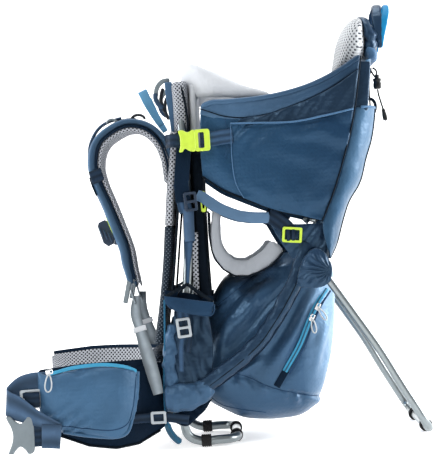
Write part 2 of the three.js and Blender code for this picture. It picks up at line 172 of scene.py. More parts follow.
def sweep(name, path, ring, across, material, widths=None, thicks=None, round=0.0, smooth=True, bumps=None):
    # a ring carried along a path: point = path + x * across + y * normal, x and y scaled along the way
    path = np.asarray(path, float)
    ring = np.asarray(ring, float)
    n, m = len(path), len(ring)
    tangent = np.gradient(path, axis=0)
    tangent /= np.linalg.norm(tangent, axis=1)[:, None]
    side = np.broadcast_to(np.asarray(across, float), path.shape).copy()
    side -= (side * tangent).sum(1)[:, None] * tangent
    side /= np.linalg.norm(side, axis=1)[:, None]
    normal = np.cross(tangent, side)
    length = runLength(path)
    w = np.ones(n) if widths is None else np.interp(np.linspace(0, 1, n), np.linspace(0, 1, len(widths)), widths)
    h = np.ones(n) if thicks is None else np.interp(np.linspace(0, 1, n), np.linspace(0, 1, len(thicks)), thicks)
    if round > 0:
        near = np.clip(np.minimum(length, length[-1] - length) / round, 0, 1)
        bulge = np.sqrt(np.clip(1 - (1 - near) ** 2, 0.02, 1))
        w, h = w * bulge, h * bulge
    x = ring[None, :, 0] * w[:, None]
    y = ring[None, :, 1] * h[:, None]
    if bumps is not None:
        push = bumps(length[:, None], np.linspace(0, 1, m, endpoint=False)[None, :])
        size = np.sqrt(x ** 2 + y ** 2) + 1e-6
        x, y = x * (1 + push / size), y * (1 + push / size)
    grid = path[:, None] + x[..., None] * side[:, None] + y[..., None] * normal[:, None]
    verts = np.vstack([grid.reshape(-1, 3), path[:1], path[-1:]])
    faces = gridFaces(n, m, True)
    around = runLength(np.vstack([ring, ring[:1]]))
    j = np.arange(m)
    ends = np.vstack([
        np.stack([np.full(m, n * m), j, (j + 1) % m], 1),
        np.stack([np.full(m, n * m + 1), (n - 1) * m + (j + 1) % m, (n - 1) * m + j], 1),
    ])
    return meshObject(name, verts, faces, cornerUv(length, around, n - 1, m), material, smooth, ends)


def tubeAlong(name, path, radius, material, count=20, across=(0.13, 0.31, 0.94), **more):
    # a round tube: a circle carried along the path
    return sweep(name, path, ringPoints(2 * radius, 2 * radius, 2.0, count), across, material, **more)


def patch(bottom, top, left, right, nu, nv):
    # Coons patch: the sum of two straight blends between facing edges, less the blend of the corners
    u, v = np.linspace(0, 1, nu)[:, None, None], np.linspace(0, 1, nv)[None, :, None]
    lo, hi = smoothPath(bottom, nu)[:, None], smoothPath(top, nu)[:, None]
    le, ri = smoothPath(left, nv)[None], smoothPath(right, nv)[None]
    corners = (1 - u) * (1 - v) * lo[:1] + u * (1 - v) * lo[-1:] + (1 - u) * v * hi[:1] + u * v * hi[-1:]
    return (1 - v) * lo + v * hi + (1 - u) * le + u * ri - corners


def hump(t, power=4.0):
    # 1 in the middle and 0 at both ends
    return 1 - np.abs(2 * t - 1) ** power


def shell(name, front, back, material):
    # two facing grids joined along their edges into one closed body
    n, m = front.shape[:2]
    verts = np.vstack([front.reshape(-1, 3), back.reshape(-1, 3)])
    f = gridFaces(n, m, False)
    off = n * m
    i, j = np.arange(n - 1), np.arange(m - 1)
    rims = [
        np.stack([i * m, i * m + off, (i + 1) * m + off, (i + 1) * m], 1),
        np.stack([i * m + m - 1, (i + 1) * m + m - 1, (i + 1) * m + m - 1 + off, i * m + m - 1 + off], 1),
        np.stack([j, j + 1, j + 1 + off, j + off], 1),
        np.stack([(n - 1) * m + j, (n - 1) * m + j + off, (n - 1) * m + j + 1 + off, (n - 1) * m + j + 1], 1),
    ]
    faces = np.vstack([f, f[:, ::-1] + off] + rims)
    face = cornerUv(runLength(front[:, m // 2]), runLength(front[n // 2]), n - 1, m - 1)
    rim = [verts[r][..., [0, 2]] * mm for r in rims]
    return meshObject(name, verts, faces, np.vstack([face, face[:, ::-1]] + rim), material)


def sidePanel(name, edges, side, y, thick, puff, material, nu=64, nv=48, power=5.0, edgeThick=3.0, relief=None):
    # a padded panel seen from the side: an X-Z patch at depth y, swelling outwards by puff in the middle
    xz = patch(*edges, nu, nv)
    u, v = np.linspace(0, 1, nu)[:, None], np.linspace(0, 1, nv)[None, :]
    swell = hump(u, power) * hump(v, power)
    depth = y(xz[..., 0], xz[..., 1]) if callable(y) else np.full(swell.shape, float(y))
    out = depth + edgeThick / 2 + puff * swell
    if relief is not None:
        out = out + relief(xz[..., 0], xz[..., 1], u, v)
    inner = depth - edgeThick / 2 - (thick - edgeThick) * swell
    grid = lambda off: np.stack([xz[..., 0], side * off, xz[..., 1]], -1)
    return shell(name, grid(out), grid(inner), material)


def plate(name, outline, thick, place, material, holes=(), bevel=0.6):
    # a flat moulded plate: a polygon with holes, made thick, its edges rounded, then put in its place
    curve = bpy.data.curves.new(name, "CURVE")
    curve.dimensions = "2D"
    curve.fill_mode = "BOTH"
    curve.extrude = max(thick / 2 - bevel, 0.05) * mm
    curve.bevel_depth = bevel * mm
    curve.bevel_resolution = 2
    curve.offset = -bevel * mm
    for loop in [outline, *holes]:
        spline = curve.splines.new("POLY")
        spline.points.add(len(loop) - 1)
        flat = np.zeros((len(loop), 4), np.float32)
        flat[:, :2] = np.asarray(loop) * mm
        flat[:, 3] = 1
        spline.points.foreach_set("co", flat.ravel())
        spline.use_cyclic_u = True
    temp = bpy.data.objects.new(name + "_curve", curve)
    bpy.context.scene.collection.objects.link(temp)
    mesh = bpy.data.meshes.new_from_object(temp)
    bpy.data.objects.remove(temp)
    bm = bmesh.new()
    bm.from_mesh(mesh)
    bmesh.ops.remove_doubles(bm, verts=bm.verts, dist=1e-6)
    bmesh.ops.recalc_face_normals(bm, faces=bm.faces)
    bm.to_mesh(mesh)
    bm.free()
    mesh.transform(place)
    mesh.materials.clear()
    mesh.materials.append(material)
    mesh.polygons.foreach_set("use_smooth", np.zeros(len(mesh.polygons), bool))
    obj = bpy.data.objects.new(name, mesh)
    bpy.context.scene.collection.objects.link(obj)
    return obj


def placed(x, y, z, facing=(0, -1, 0), up=(0, 0, 1)):
    # matrix that puts a plate at a point in millimetres, its face turned to a direction
    out = Vector(facing).normalized()
    vertical = (Vector(up) - Vector(up).dot(out) * out).normalized()
    right = vertical.cross(out)
    m = Matrix((right, vertical, out)).transposed().to_4x4()
    m.translation = Vector((x, y, z)) * mm
    return m


def roundedBox(w, h, r):
    # corner points of a rectangle with round corners
    a = np.linspace(0, np.pi / 2, 5)
    quarter = np.stack([np.cos(a), np.sin(a)], 1) * r
    parts = []
    for k, (sx, sy) in enumerate([(1, 1), (-1, 1), (-1, -1), (1, -1)]):
        turn = k * np.pi / 2
        rot = np.array([[math.cos(turn), math.sin(turn)], [-math.sin(turn), math.cos(turn)]])
        parts.append(quarter @ rot + [sx * (w / 2 - r), sy * (h / 2 - r)])
    return np.vstack(parts)


def ladderLock(name, w, h, place, material, bars=2, thick=4.0):
    # a strap adjuster: a rounded frame with slots
    bar, sideBars = 4.2, 8.5
    gap = (h - bar * (bars + 1)) / bars
    holes = []
    for k in range(bars):
        centre = -h / 2 + bar + gap / 2 + k * (gap + bar)
        holes.append((roundedBox(w - sideBars, gap, 1.2) + [0, centre])[::-1])
    return plate(name, roundedBox(w, h, 3.0), thick, place, material, holes, 0.8)


def strap(name, points, width, thick, across, material, side=1, **more):
    # flat webbing: a thin rounded band carried along a curve
    pts = np.asarray(points, float)
    if pts.shape[1] == 3:
        pts = pts * [1, side, 1]
    path = smoothPath(pts, max(12, int(np.linalg.norm(np.diff(pts, axis=0), axis=1).sum() / 4)))
    return sweep(name, path, ringPoints(width, thick, 6.0, 24), across, material, **more)


def keep(obj, replaces=(), body="carrier"):
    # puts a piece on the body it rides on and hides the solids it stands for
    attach(obj, body)
    if replaces:
        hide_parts(*([replaces] if isinstance(replaces, str) else replaces))
    return obj


def piping(name, path, radius, material, body="carrier"):
    # a thin cord sewn along a seam or an edge
    return keep(tubeAlong(name, path, radius, material, 8), body=body)


def puffUp(obj, voxel=5.0, pressure=4.0, cap=6.0):
    # cloth under inside pressure with gravity off: remeshed, 20 frames, no point moving further than the cap
    remesh = obj.modifiers.new("even", "REMESH")
    remesh.mode = "VOXEL"
    remesh.voxel_size = voxel * mm
    remesh.use_smooth_shade = True
    even = bpy.data.meshes.new_from_object(obj.evaluated_get(bpy.context.evaluated_depsgraph_get()))
    obj.modifiers.clear()
    obj.data = even
    rest = np.empty(len(even.vertices) * 3)
    even.vertices.foreach_get("co", rest)
    cloth = obj.modifiers.new("puff", "CLOTH")
    cloth.settings.quality = 4
    cloth.settings.use_pressure = True
    cloth.settings.uniform_pressure_force = pressure
    cloth.settings.effector_weights.gravity = 0
    scene = bpy.context.scene
    frames = 20
    for step in range(1, frames + 1):
        scene.frame_set(step)
    swollen = bpy.data.meshes.new_from_object(obj.evaluated_get(bpy.context.evaluated_depsgraph_get()))
    moved = np.empty(len(swollen.vertices) * 3)
    swollen.vertices.foreach_get("co", moved)
    obj.modifiers.clear()
    scene.frame_set(1)
    shift = (moved - rest).reshape(-1, 3)
    far = np.linalg.norm(shift, axis=1)[:, None] + 1e-12
    shift *= np.minimum(1, cap * mm / far)
    even.vertices.foreach_set("co", (rest.reshape(-1, 3) + shift).ravel())
    even.polygons.foreach_set("use_smooth", np.ones(len(even.polygons), bool))
    finer = obj.modifiers.new("smooth", "SUBSURF")
    finer.levels = finer.render_levels = 1
    return obj


def pushOut(obj, relief):
    # moves a skin along its normals by the relief (mm) at each of its points
    mesh = obj.data
    spots, normals = np.empty(len(mesh.vertices) * 3), np.empty(len(mesh.vertices) * 3)
    mesh.vertices.foreach_get("co", spots)
    mesh.vertices.foreach_get("normal", normals)
    spots = spots.reshape(-1, 3)
    amount = relief(*(spots.T * 1000))[:, None] * mm
    mesh.vertices.foreach_set("co", (spots + amount * normals.reshape(-1, 3)).ravel())
    mesh.update()


def settle(path, obj, side, lift):
    # slides each point of a line sideways until it lies on the piece's skin, lifted off it a little
    bpy.context.view_layer.update()
    onSkin = []
    for x, y, z in path:
        found, spot, _, _ = obj.ray_cast(Vector((x, side * 400, z)) * mm, Vector((0, -side, 0)))
        onSkin.append((x, spot.y * 1000 + side * lift if found else y, z))
    return np.array(onSkin)


def newMaterial(name):
    mat = bpy.data.materials.new(name)
    mat.use_nodes = True
    tree = mat.node_tree
    tree.nodes.clear()
    out = tree.nodes.new("ShaderNodeOutputMaterial")
    bsdf = tree.nodes.new("ShaderNodeBsdfPrincipled")
    tree.links.new(bsdf.outputs[0], out.inputs[0])
    return mat, tree, bsdf


def setInputs(node, **values):
    # sets a node's sockets, an underscore standing for a space in a socket's name
    for socket, value in values.items():
        node.inputs[socket.replace("_", " ")].default_value = value


def noiseNode(tree, source, **values):
    # a noise texture that reads the given coordinates
    noise = tree.nodes.new("ShaderNodeTexNoise")
    setInputs(noise, **values)
    tree.links.new(source, noise.inputs["Vector"])
    return noise


def waveNode(tree, source, direction, pitch, **values):
    # bands across one direction, a pitch in millimetres apart
    wave = tree.nodes.new("ShaderNodeTexWave")
    wave.bands_direction = direction
    setInputs(wave, Scale=1000 / pitch / 20, **values)
    tree.links.new(source, wave.inputs["Vector"])
    return wave.outputs["Fac"]


def colourNoise(tree, source, scale, low, high):
    # colour that drifts between two tones with a noise pattern
    noise = noiseNode(tree, source, Scale=scale, Detail=3)
    ramp = tree.nodes.new("ShaderNodeValToRGB")
    for stop, position, tone in zip(ramp.color_ramp.elements, (0.3, 0.7), (low, high)):
        stop.position, stop.color = position, (*tone, 1)
    tree.links.new(noise.outputs["Fac"], ramp.inputs["Fac"])
    return ramp.outputs["Color"]


def bumped(tree, bsdf, layers):
    # bump layers, each (height, strength, distance), stacked one on the next
    last = None
    for height, strength, distance in layers:
        bump = tree.nodes.new("ShaderNodeBump")
        bump.inputs["Strength"].default_value = strength
        bump.inputs["Distance"].default_value = distance
        tree.links.new(height, bump.inputs["Height"])
        if last:
            tree.links.new(last, bump.inputs["Normal"])
        last = bump.outputs["Normal"]
    tree.links.new(last, bsdf.inputs["Normal"])


def math2(tree, operation, a, b=None):
    node = tree.nodes.new("ShaderNodeMath")
    node.operation = operation
    for socket, value in zip(node.inputs, (a, b)):
        if value is None:
            continue
        if isinstance(value, (int, float)):
            socket.default_value = value
        else:
            tree.links.new(value, socket)
    return node.outputs[0]


def wovenFabric(name, colour, rough=0.6, sheen=0.25, pitch=1.1, tone=0.18, crumple=0.45, uv=False, shine=0.3,
        gloss=(0.4, 0.68, 1.0)):
    # plain weave: two crossing sine waves, threads over and under, with soft crumples and uneven dye
    mat, tree, bsdf = newMaterial(name)
    coord = tree.nodes.new("ShaderNodeTexCoord").outputs["UV" if uv else "Object"]
    low = [c * (1 - tone) for c in colour]
    high = [min(1, c * (1 + tone)) for c in colour]
    tree.links.new(colourNoise(tree, coord, 14, low, high), bsdf.inputs["Base Color"])
    warp = waveNode(tree, coord, "X", pitch, Distortion=0.4)
    weft = waveNode(tree, coord, "Y" if uv else "Z", pitch, Distortion=0.4)
    weave = math2(tree, "MULTIPLY", warp, weft)
    crumpled = noiseNode(tree, coord, Scale=38, Detail=4, Roughness=0.55)
    bumped(tree, bsdf, [(crumpled.outputs["Fac"], crumple, 0.006), (weave, 0.35, 0.0004)])
    setInputs(bsdf, Roughness=rough, Sheen_Weight=sheen * 0.1, Sheen_Roughness=0.35, Sheen_Tint=(0.5, 0.75, 1, 1))
    setInputs(bsdf, Specular_Tint=tuple(gloss) + (1,), Specular_IOR_Level=shine)
    return mat


def paintedLightAlongX(mat, start, end, gain):
    # painted light: the colour blends along X into the lighter tone gain, standing in for lamp light falling more on
    # one end of the cloth
    tree = mat.node_tree
    bsdf = next(n for n in tree.nodes if n.type == "BSDF_PRINCIPLED")
    colour = bsdf.inputs["Base Color"].links[0].from_socket
    parts = tree.nodes.new("ShaderNodeSeparateXYZ")
    tree.links.new(tree.nodes.new("ShaderNodeTexCoord").outputs["Object"], parts.inputs[0])
    along = tree.nodes.new("ShaderNodeMapRange")
    setInputs(along, From_Min=start * mm, From_Max=end * mm)
    tree.links.new(parts.outputs[0], along.inputs["Value"])
    mix = tree.nodes.new("ShaderNodeMix")
    mix.data_type = "RGBA"
    tree.links.new(along.outputs[0], mix.inputs["Factor"])
    tree.links.new(colour, mix.inputs["A"])
    mix.inputs["B"].default_value = (*gain, 1)
    tree.links.new(mix.outputs["Result"], bsdf.inputs["Base Color"])


def webbingFabric(name, colour, rib=1.6):
    # ribbed webbing: raised pale ribs along the band, dark grooves between them, fine cross threads
    mat, tree, bsdf = newMaterial(name)
    coord = tree.nodes.new("ShaderNodeTexCoord").outputs["UV"]
    ribs = waveNode(tree, coord, "Y", rib)
    threads = waveNode(tree, coord, "X", rib * 0.6)
    worn = colourNoise(tree, coord, 60, [c * 0.85 for c in colour], [min(1, c * 1.15) for c in colour])
    mix = tree.nodes.new("ShaderNodeMix")
    mix.data_type = "RGBA"
    tree.links.new(ribs, mix.inputs["Factor"])
    mix.inputs["A"].default_value = (*[c * 0.45 for c in colour], 1)
    tree.links.new(worn, mix.inputs["B"])
    tree.links.new(mix.outputs["Result"], bsdf.inputs["Base Color"])
    bumped(tree, bsdf, [(ribs, 0.6, 0.0008), (threads, 0.3, 0.0003)])
    setInputs(bsdf, Roughness=0.5, Specular_Tint=(0.6, 0.8, 1.0, 1), Specular_IOR_Level=0.25)
    return mat


def spacerMesh(name, colour, hole, pitch=4.6, open=0.25, uv=True, stretch=1.0):
    # spacer mesh: staggered round holes where the product of two crossed sine waves is high
    mat, tree, bsdf = newMaterial(name)
    coord = tree.nodes.new("ShaderNodeTexCoord").outputs["UV" if uv else "Object"]
    parts = tree.nodes.new("ShaderNodeSeparateXYZ")
    tree.links.new(coord, parts.inputs[0])
    step = 2000 * math.pi / pitch
    across = parts.outputs[0] if uv else math2(tree, "SUBTRACT", parts.outputs[0], parts.outputs[1])
    waveA = math2(tree, "SINE", math2(tree, "MULTIPLY", across, step / stretch))
    waveB = math2(tree, "SINE", math2(tree, "MULTIPLY", parts.outputs[1 if uv else 2], step))
    depth = math2(tree, "MULTIPLY", waveA, waveB)
    ramp = tree.nodes.new("ShaderNodeValToRGB")
    holeEdge = 0.22  # how softly the cloth turns into the hole
    for stop, position, tone in zip(ramp.color_ramp.elements, (open, open + holeEdge), (colour, hole)):
        stop.position, stop.color = position, (*tone, 1)
    tree.links.new(depth, ramp.inputs["Fac"])
    tree.links.new(ramp.outputs["Color"], bsdf.inputs["Base Color"])
    bumped(tree, bsdf, [(math2(tree, "MULTIPLY", depth, -1.0), 0.6, 0.001)])
    setInputs(bsdf, Roughness=0.8, Specular_IOR_Level=0.2)
    return mat


def mouldedPlastic(name, colour, rough=0.42, grain=0.15):
    # moulded plastic with a fine grain and slightly uneven gloss
    mat, tree, bsdf = newMaterial(name)
    coord = tree.nodes.new("ShaderNodeTexCoord").outputs["Object"]
    tree.links.new(colourNoise(tree, coord, 90, [c * 0.93 for c in colour], [min(1, c * 1.05) for c in colour]),
        bsdf.inputs["Base Color"])
    noise = noiseNode(tree, coord, Scale=1800)
    bumped(tree, bsdf, [(noise.outputs["Fac"], grain, 0.0002)])
    setInputs(bsdf, Roughness=rough, Specular_IOR_Level=0.35)
    return mat


def satinMetal(name, colour, rough=0.3):
    # drawn metal: fine lines along the tube and a slight change of gloss
    mat, tree, bsdf = newMaterial(name)
    coord = tree.nodes.new("ShaderNodeTexCoord").outputs["UV"]
    mapping = tree.nodes.new("ShaderNodeMapping")
    setInputs(mapping, Scale=(6, 900, 1))
    tree.links.new(coord, mapping.inputs["Vector"])
    noise = noiseNode(tree, mapping.outputs["Vector"], Scale=3, Detail=4)
    bumped(tree, bsdf, [(noise.outputs["Fac"], 0.12, 0.0003)])
    gloss = tree.nodes.new("ShaderNodeMapRange")
    setInputs(gloss, To_Min=rough * 0.8, To_Max=rough * 1.3)
    tree.links.new(noise.outputs["Fac"], gloss.inputs["Value"])
    tree.links.new(gloss.outputs[0], bsdf.inputs["Roughness"])
    setInputs(bsdf, Base_Color=(*colour, 1), Metallic=1)
    return mat


blueSatin = wovenFabric("blue_satin", (0.0062, 0.0245, 0.058), rough=0.38, sheen=0.35, shine=0.5)
blueSoft = wovenFabric("blue_soft", (0.06, 0.13, 0.235), rough=0.5, sheen=0.4)
blueDeep = wovenFabric("blue_deep", (0.012, 0.035, 0.08), rough=0.5, sheen=0.3)
navyCloth = wovenFabric("navy_cloth", (0.004, 0.010, 0.022), rough=0.6, shine=0.1)
darkLining = wovenFabric("dark_lining", (0.004, 0.006, 0.010), rough=0.8, sheen=0.1, shine=0.1)
paleBlue = wovenFabric("pale_blue", (0.12, 0.30, 0.48), rough=0.5, sheen=0.3)
skyTrim = wovenFabric("sky_trim", (0.05, 0.28, 0.46), rough=0.5, sheen=0.2, pitch=0.8)
greyLining = wovenFabric("grey_lining", (0.54, 0.56, 0.59), rough=0.8, sheen=0.3, tone=0.05, crumple=0.3, shine=0.2,
    gloss=(1, 1, 1))
padGrey = wovenFabric("pad_grey", (0.30, 0.32, 0.35), rough=0.75, sheen=0.3, tone=0.08, crumple=0.4, shine=0.2,
    gloss=(1, 1, 1))
gussetBlue = wovenFabric("gusset_blue", (0.020, 0.058, 0.112), rough=0.42, sheen=0.4, shine=0.5)
bagSatin = wovenFabric("bag_satin", (0.021, 0.052, 0.104), rough=0.36, sheen=0.35, shine=0.75, crumple=0.4)
# painted light: the bag's cloth is painted paler towards the rear, as if lit by the light from the rear side
paintedLightAlongX(bagSatin, 135, 200, (0.17, 0.29, 0.44))
# painted light: the rear gusset is painted paler towards the rear, as if lit by the light from the rear side
paintedLightAlongX(gussetBlue, 205, 292, (0.06, 0.13, 0.22))
# painted light: the cockpit side cloth is painted lighter towards the front
paintedLightAlongX(blueSatin, 230, 40, (0.013, 0.046, 0.098))
sleeveBlue = wovenFabric("sleeve_blue", (0.034, 0.075, 0.14), rough=0.4, sheen=0.4, shine=0.6)
sleeveDark = wovenFabric("sleeve_dark", (0.007, 0.018, 0.040), rough=0.38, sheen=0.4, shine=0.6)
bootNavy = wovenFabric("boot_navy", (0.009, 0.023, 0.050), rough=0.36, sheen=0.3, shine=0.6)
rimBlue = wovenFabric("rim_blue", (0.016, 0.037, 0.074), rough=0.44, sheen=0.4, shine=0.45)
# painted light: the rim band is painted lighter towards the front
paintedLightAlongX(rimBlue, 225, 50, (0.050, 0.10, 0.175))
navySatin = wovenFabric("navy_satin", (0.006, 0.015, 0.033), rough=0.36, shine=0.6)
stirrupNavy = wovenFabric("stirrup_navy", (0.010, 0.030, 0.066), rough=0.5, sheen=0.2)
pocketBlue = wovenFabric("pocket_blue", (0.038, 0.090, 0.165), rough=0.42, sheen=0.35, shine=0.5)
legStrapBlue = wovenFabric("leg_strap_blue", (0.085, 0.15, 0.24), rough=0.5, sheen=0.3, uv=True)
brightBlue = wovenFabric("bright_blue", (0.008, 0.20, 0.42), rough=0.5, sheen=0.2)
blackPiping = wovenFabric("black_piping", (0.003, 0.004, 0.006), rough=0.6, sheen=0.0, uv=True, shine=0.15)
blueWebbing = webbingFabric("blue_webbing", (0.035, 0.075, 0.145))
navyWebbing = webbingFabric("navy_webbing", (0.009, 0.02, 0.042))
greyWebbing = webbingFabric("grey_webbing", (0.28, 0.32, 0.35), rib=3.2)
stripedWebbing = webbingFabric("striped_webbing", (0.055, 0.10, 0.175), rib=4.6)
shoulderBlue = webbingFabric("shoulder_blue", (0.05, 0.105, 0.185), rib=5.0)
whiteMesh = spacerMesh("white_mesh", (0.42, 0.44, 0.48), (0.012, 0.013, 0.018), pitch=7.0, open=0.1)
fineMesh = spacerMesh("fine_mesh", (0.40, 0.42, 0.46), (0.02, 0.022, 0.03), pitch=6.4, open=0.08)
blackMesh = spacerMesh("black_mesh", (0.010, 0.018, 0.030), (0.11, 0.14, 0.17), pitch=6.5, open=0.45)
lumbarMesh = spacerMesh("lumbar_mesh", (0.010, 0.018, 0.030), (0.05, 0.06, 0.08), pitch=6.5, open=0.35, uv=False)
fineHeadMesh = spacerMesh("head_mesh", (0.56, 0.58, 0.60), (0.05, 0.055, 0.07), pitch=9.0, open=0.3, uv=False,
    stretch=0.8)
tealPlastic = mouldedPlastic("teal_plastic", (0.015, 0.085, 0.15))
tealTrim = wovenFabric("teal_trim", (0.02, 0.10, 0.18), rough=0.5, shine=0.2)
paleCord = mouldedPlastic("pale_cord", (0.45, 0.48, 0.5))
limePlastic = mouldedPlastic("lime_plastic", (0.52, 0.70, 0.06), rough=0.35)
greyPlastic = mouldedPlastic("grey_plastic", (0.17, 0.205, 0.225))
darkPlastic = mouldedPlastic("dark_plastic", (0.016, 0.02, 0.026), rough=0.3)
silverPlastic = mouldedPlastic("silver_plastic", (0.40, 0.44, 0.47), rough=0.3)
bluePlastic = mouldedPlastic("blue_plastic", (0.016, 0.03, 0.055), rough=0.3)
blackPlastic = mouldedPlastic("black_plastic", (0.008, 0.009, 0.011))
darkTube = satinMetal("dark_tube", (0.26, 0.29, 0.30), rough=0.3)
steelBright = satinMetal("steel_bright", (0.75, 0.76, 0.77), rough=0.22)
rubberBlack = mouldedPlastic("rubber_black", (0.012, 0.012, 0.013), rough=0.75, grain=0.4)
print("materials made")


camera = {"distance": 2850.0, "x": 17.0, "z": 358.0, "roll": 3.7, "lens": 132.9, "sensor": 36}
cam = bpy.data.cameras.new("camera")
cam.lens = camera["lens"]
cam.sensor_width = camera["sensor"]
camObj = bpy.data.objects.new("camera", cam)
bpy.context.scene.collection.objects.link(camObj)
c, s = math.cos(math.radians(camera["roll"])), math.sin(math.radians(camera["roll"]))
turn = Matrix(((c, s, 0), (0, 0, -1), (-s, c, 0))).to_4x4()
turn.translation = Vector((camera["x"], -camera["distance"], camera["z"])) * mm
camObj.matrix_world = turn
bpy.context.scene.camera = camObj


frameTubes = {"kickRadius": 7.0, "baseRadius": 7.5, "frameRadius": 8.0, "rearRadius": 6.0}


def both(half):
    # one half of a symmetric tube and its mirror image, as one path
    half = np.asarray(half, float)
    return np.vstack([half * [1, -1, 1], half[::-1]])


kickHalf = [(174, 150, 279), (230, 150, 191), (259, 150, 144), (288, 150, 90), (312, 150, 47), (326, 146, 22),
    (332, 128, 12), (333, 104, 10.5), (333, 50, 10.5)]
kick = tubeAlong("kickstand_tube", smoothPath(both(kickHalf), 220), frameTubes["kickRadius"], darkTube, 24)
keep(kick, "kickstand", body="kickstand")
for name, side in sides:
    eye = tubeAlong("kickstand_eye_" + name, np.array([(174, side * (143.2 + k * 1.5), 279) for k in range(10)]), 9.9,
        darkTube, 28, across=(1, 0, 0), round=1.5)
    keep(eye, body="kickstand")

baseHalf = [(-66, 112, 77.6), (-65, 108, 44), (-58, 103, 20), (-40, 100, 10.5), (-10, 100, 10.5), (8, 96, 10.5),
    (20, 76, 10.5), (20, 30, 10.5)]
base = tubeAlong("base_tube", smoothPath(both(baseHalf), 160), frameTubes["baseRadius"], darkTube, 24)
keep(base, "base_loop")

backHalf = [(-66, 112, 78), (-60, 122, 160), (-41, 124, 300), (-36, 124, 420), (-37, 121, 520), (-38.5, 106, 568),
    (-38.5, 70, 586)]
hoop = tubeAlong("back_hoop_tube", smoothPath(both(backHalf), 200), frameTubes["frameRadius"], darkTube, 20)
keep(hoop, "back_hoop")

rearHalf = [(165, 129, 357), (198, 126, 397), (217, 122, 447), (243, 112, 534), (262, 88, 594), (268, 40, 611)]
rear = tubeAlong("rear_hoop_tube", smoothPath(both(rearHalf), 160), frameTubes["rearRadius"], darkTube, 18)
keep(rear, "rear_hoop")


def ribbedGrip(name, x, y, along, body, node):
    # a rubber ring with raised ribs: the radius steps up and down along its length
    n = 40
    t = np.linspace(-8, 8, n)
    centre = np.array([x, y, 10.5])
    path = centre + t[:, None] * np.array(along)
    ribs = 9.7 + 0.8 * (np.sin(t * 2 * np.pi / 3.2) > 0)
    grip = sweep(name, path, ringPoints(2, 2, 2.0, 28), (0, 0, 1), rubberBlack, widths=ribs, thicks=ribs,
        smooth=False)
    return keep(grip, node, body=body)


for name, side in sides:
    ribbedGrip("base_grip_front_skin_" + name, -30, side * 100, (1, 0, 0), "carrier", "base_grip_front_" + name)
    ribbedGrip("base_grip_rear_skin_" + name, 20, side * 52, (0, 1, 0), "carrier", "base_grip_rear_" + name)
    ribbedGrip("kick_grip_skin_" + name, 333, side * 80, (0, 1, 0), "kickstand", "kick_grip_" + name)
print("frame dressed")


cockpit = {"y": 150.0, "pocketY": 156.0}
panelEdges = (
    [(-8, 440), (22, 417), (48, 404), (102, 380), (149, 366), (179, 357)],
    [(-4, 552), (14, 558), (31, 558), (78, 559), (125, 564), (172, 575), (216, 593), (258, 618)],
    [(-8, 440), (-9, 477), (-7, 523), (-4, 552)],
    [(179, 357), (198, 397), (217, 447), (232, 493), (243, 534), (258, 618)],
)
pocketEdges = (
    [(56, 402), (102, 381), (149, 367), (179, 358)],
    [(42, 523), (80, 521), (144, 519), (196, 526), (240, 534)],
    [(56, 402), (45, 425), (41, 455), (42, 523)],
    [(179, 358), (198, 397), (217, 447), (232, 493), (240, 534)],
)


rimSeam = [(-6, 550), (12, 543), (30, 536), (65, 531), (100, 534), (135, 543), (175, 556), (215, 574), (252, 597)]


def panelRelief(x, z, u, v):
    # the cloth dips along the rim seam; gathers fan down from it over the pocket's mouth
    seam = np.interp(x, *np.array(rimSeam).T)
    gather = np.exp(-((z - (seam - 14)) / 15) ** 2) * np.clip((x - 40) / 30, 0, 1)
    lines = np.sin(x / 3.6 - 0.09 * z + 1.6 * folds(x, z, 3, 80))
    dip = -2.6 * np.exp(-((z - seam) / 2.4) ** 2)
    flap = 1.6 * np.sin((x + 0.6 * z) / 9 + folds(x, z, 4, 60)) * np.exp(-((x - 8) / 26) ** 2)
    return dip + 2.2 * gather * lines + flap + 1.2 * folds(x, z, 11, 60)


def pocketRelief(x, z, u, v):
    # soft drapes below the slack mouth and slanting pulls towards the rear seam
    mouth = 5.0 * hump(u, 2.0) * v ** 6
    pulls = np.sin((x * 0.42 + z) / 9 + 2 * folds(x, z, 5, 110)) * (0.35 + v) * np.exp(-(((x - 190) / 60) ** 2))
    corner = np.sin((x - 0.9 * z) / 7 + folds(x, z, 6, 60)) * np.exp(-(((x - 62) / 26) ** 2 + ((z - 505) / 26) ** 2))
    foot = np.sin((x + 0.4 * z) / 6.5 + 1.5 * folds(x, z, 8, 60)) * np.exp(-((v / 0.22) ** 2))
    return mouth + 2.2 * folds(x, z, 7, 75) + 2.0 * pulls + 2.4 * corner + 1.6 * foot


rimEdges = ([(x, z + 1.5) for x, z in rimSeam], panelEdges[1], [(-6, 541), (-4, 552)], [(252, 597), (258, 618)])
gatherEdges = (
    [(50, 521), (80, 519), (144, 517), (196, 524), (240, 532)],
    [(66, 531), (100, 534), (135, 543), (175, 556), (215, 574), (252, 597)],
    [(50, 521), (56, 527), (66, 531)],
    [(240, 532), (245, 560), (252, 597)],
)


def gatherRelief(x, z, u, v):
    # deep slanting pleats, drawn in under the rim
    return 2.6 * np.sin(x / 5.0 - z / 8 + 1.6 * folds(x, z, 13, 70)) * hump(v, 2) * (1 - 0.85 * u)


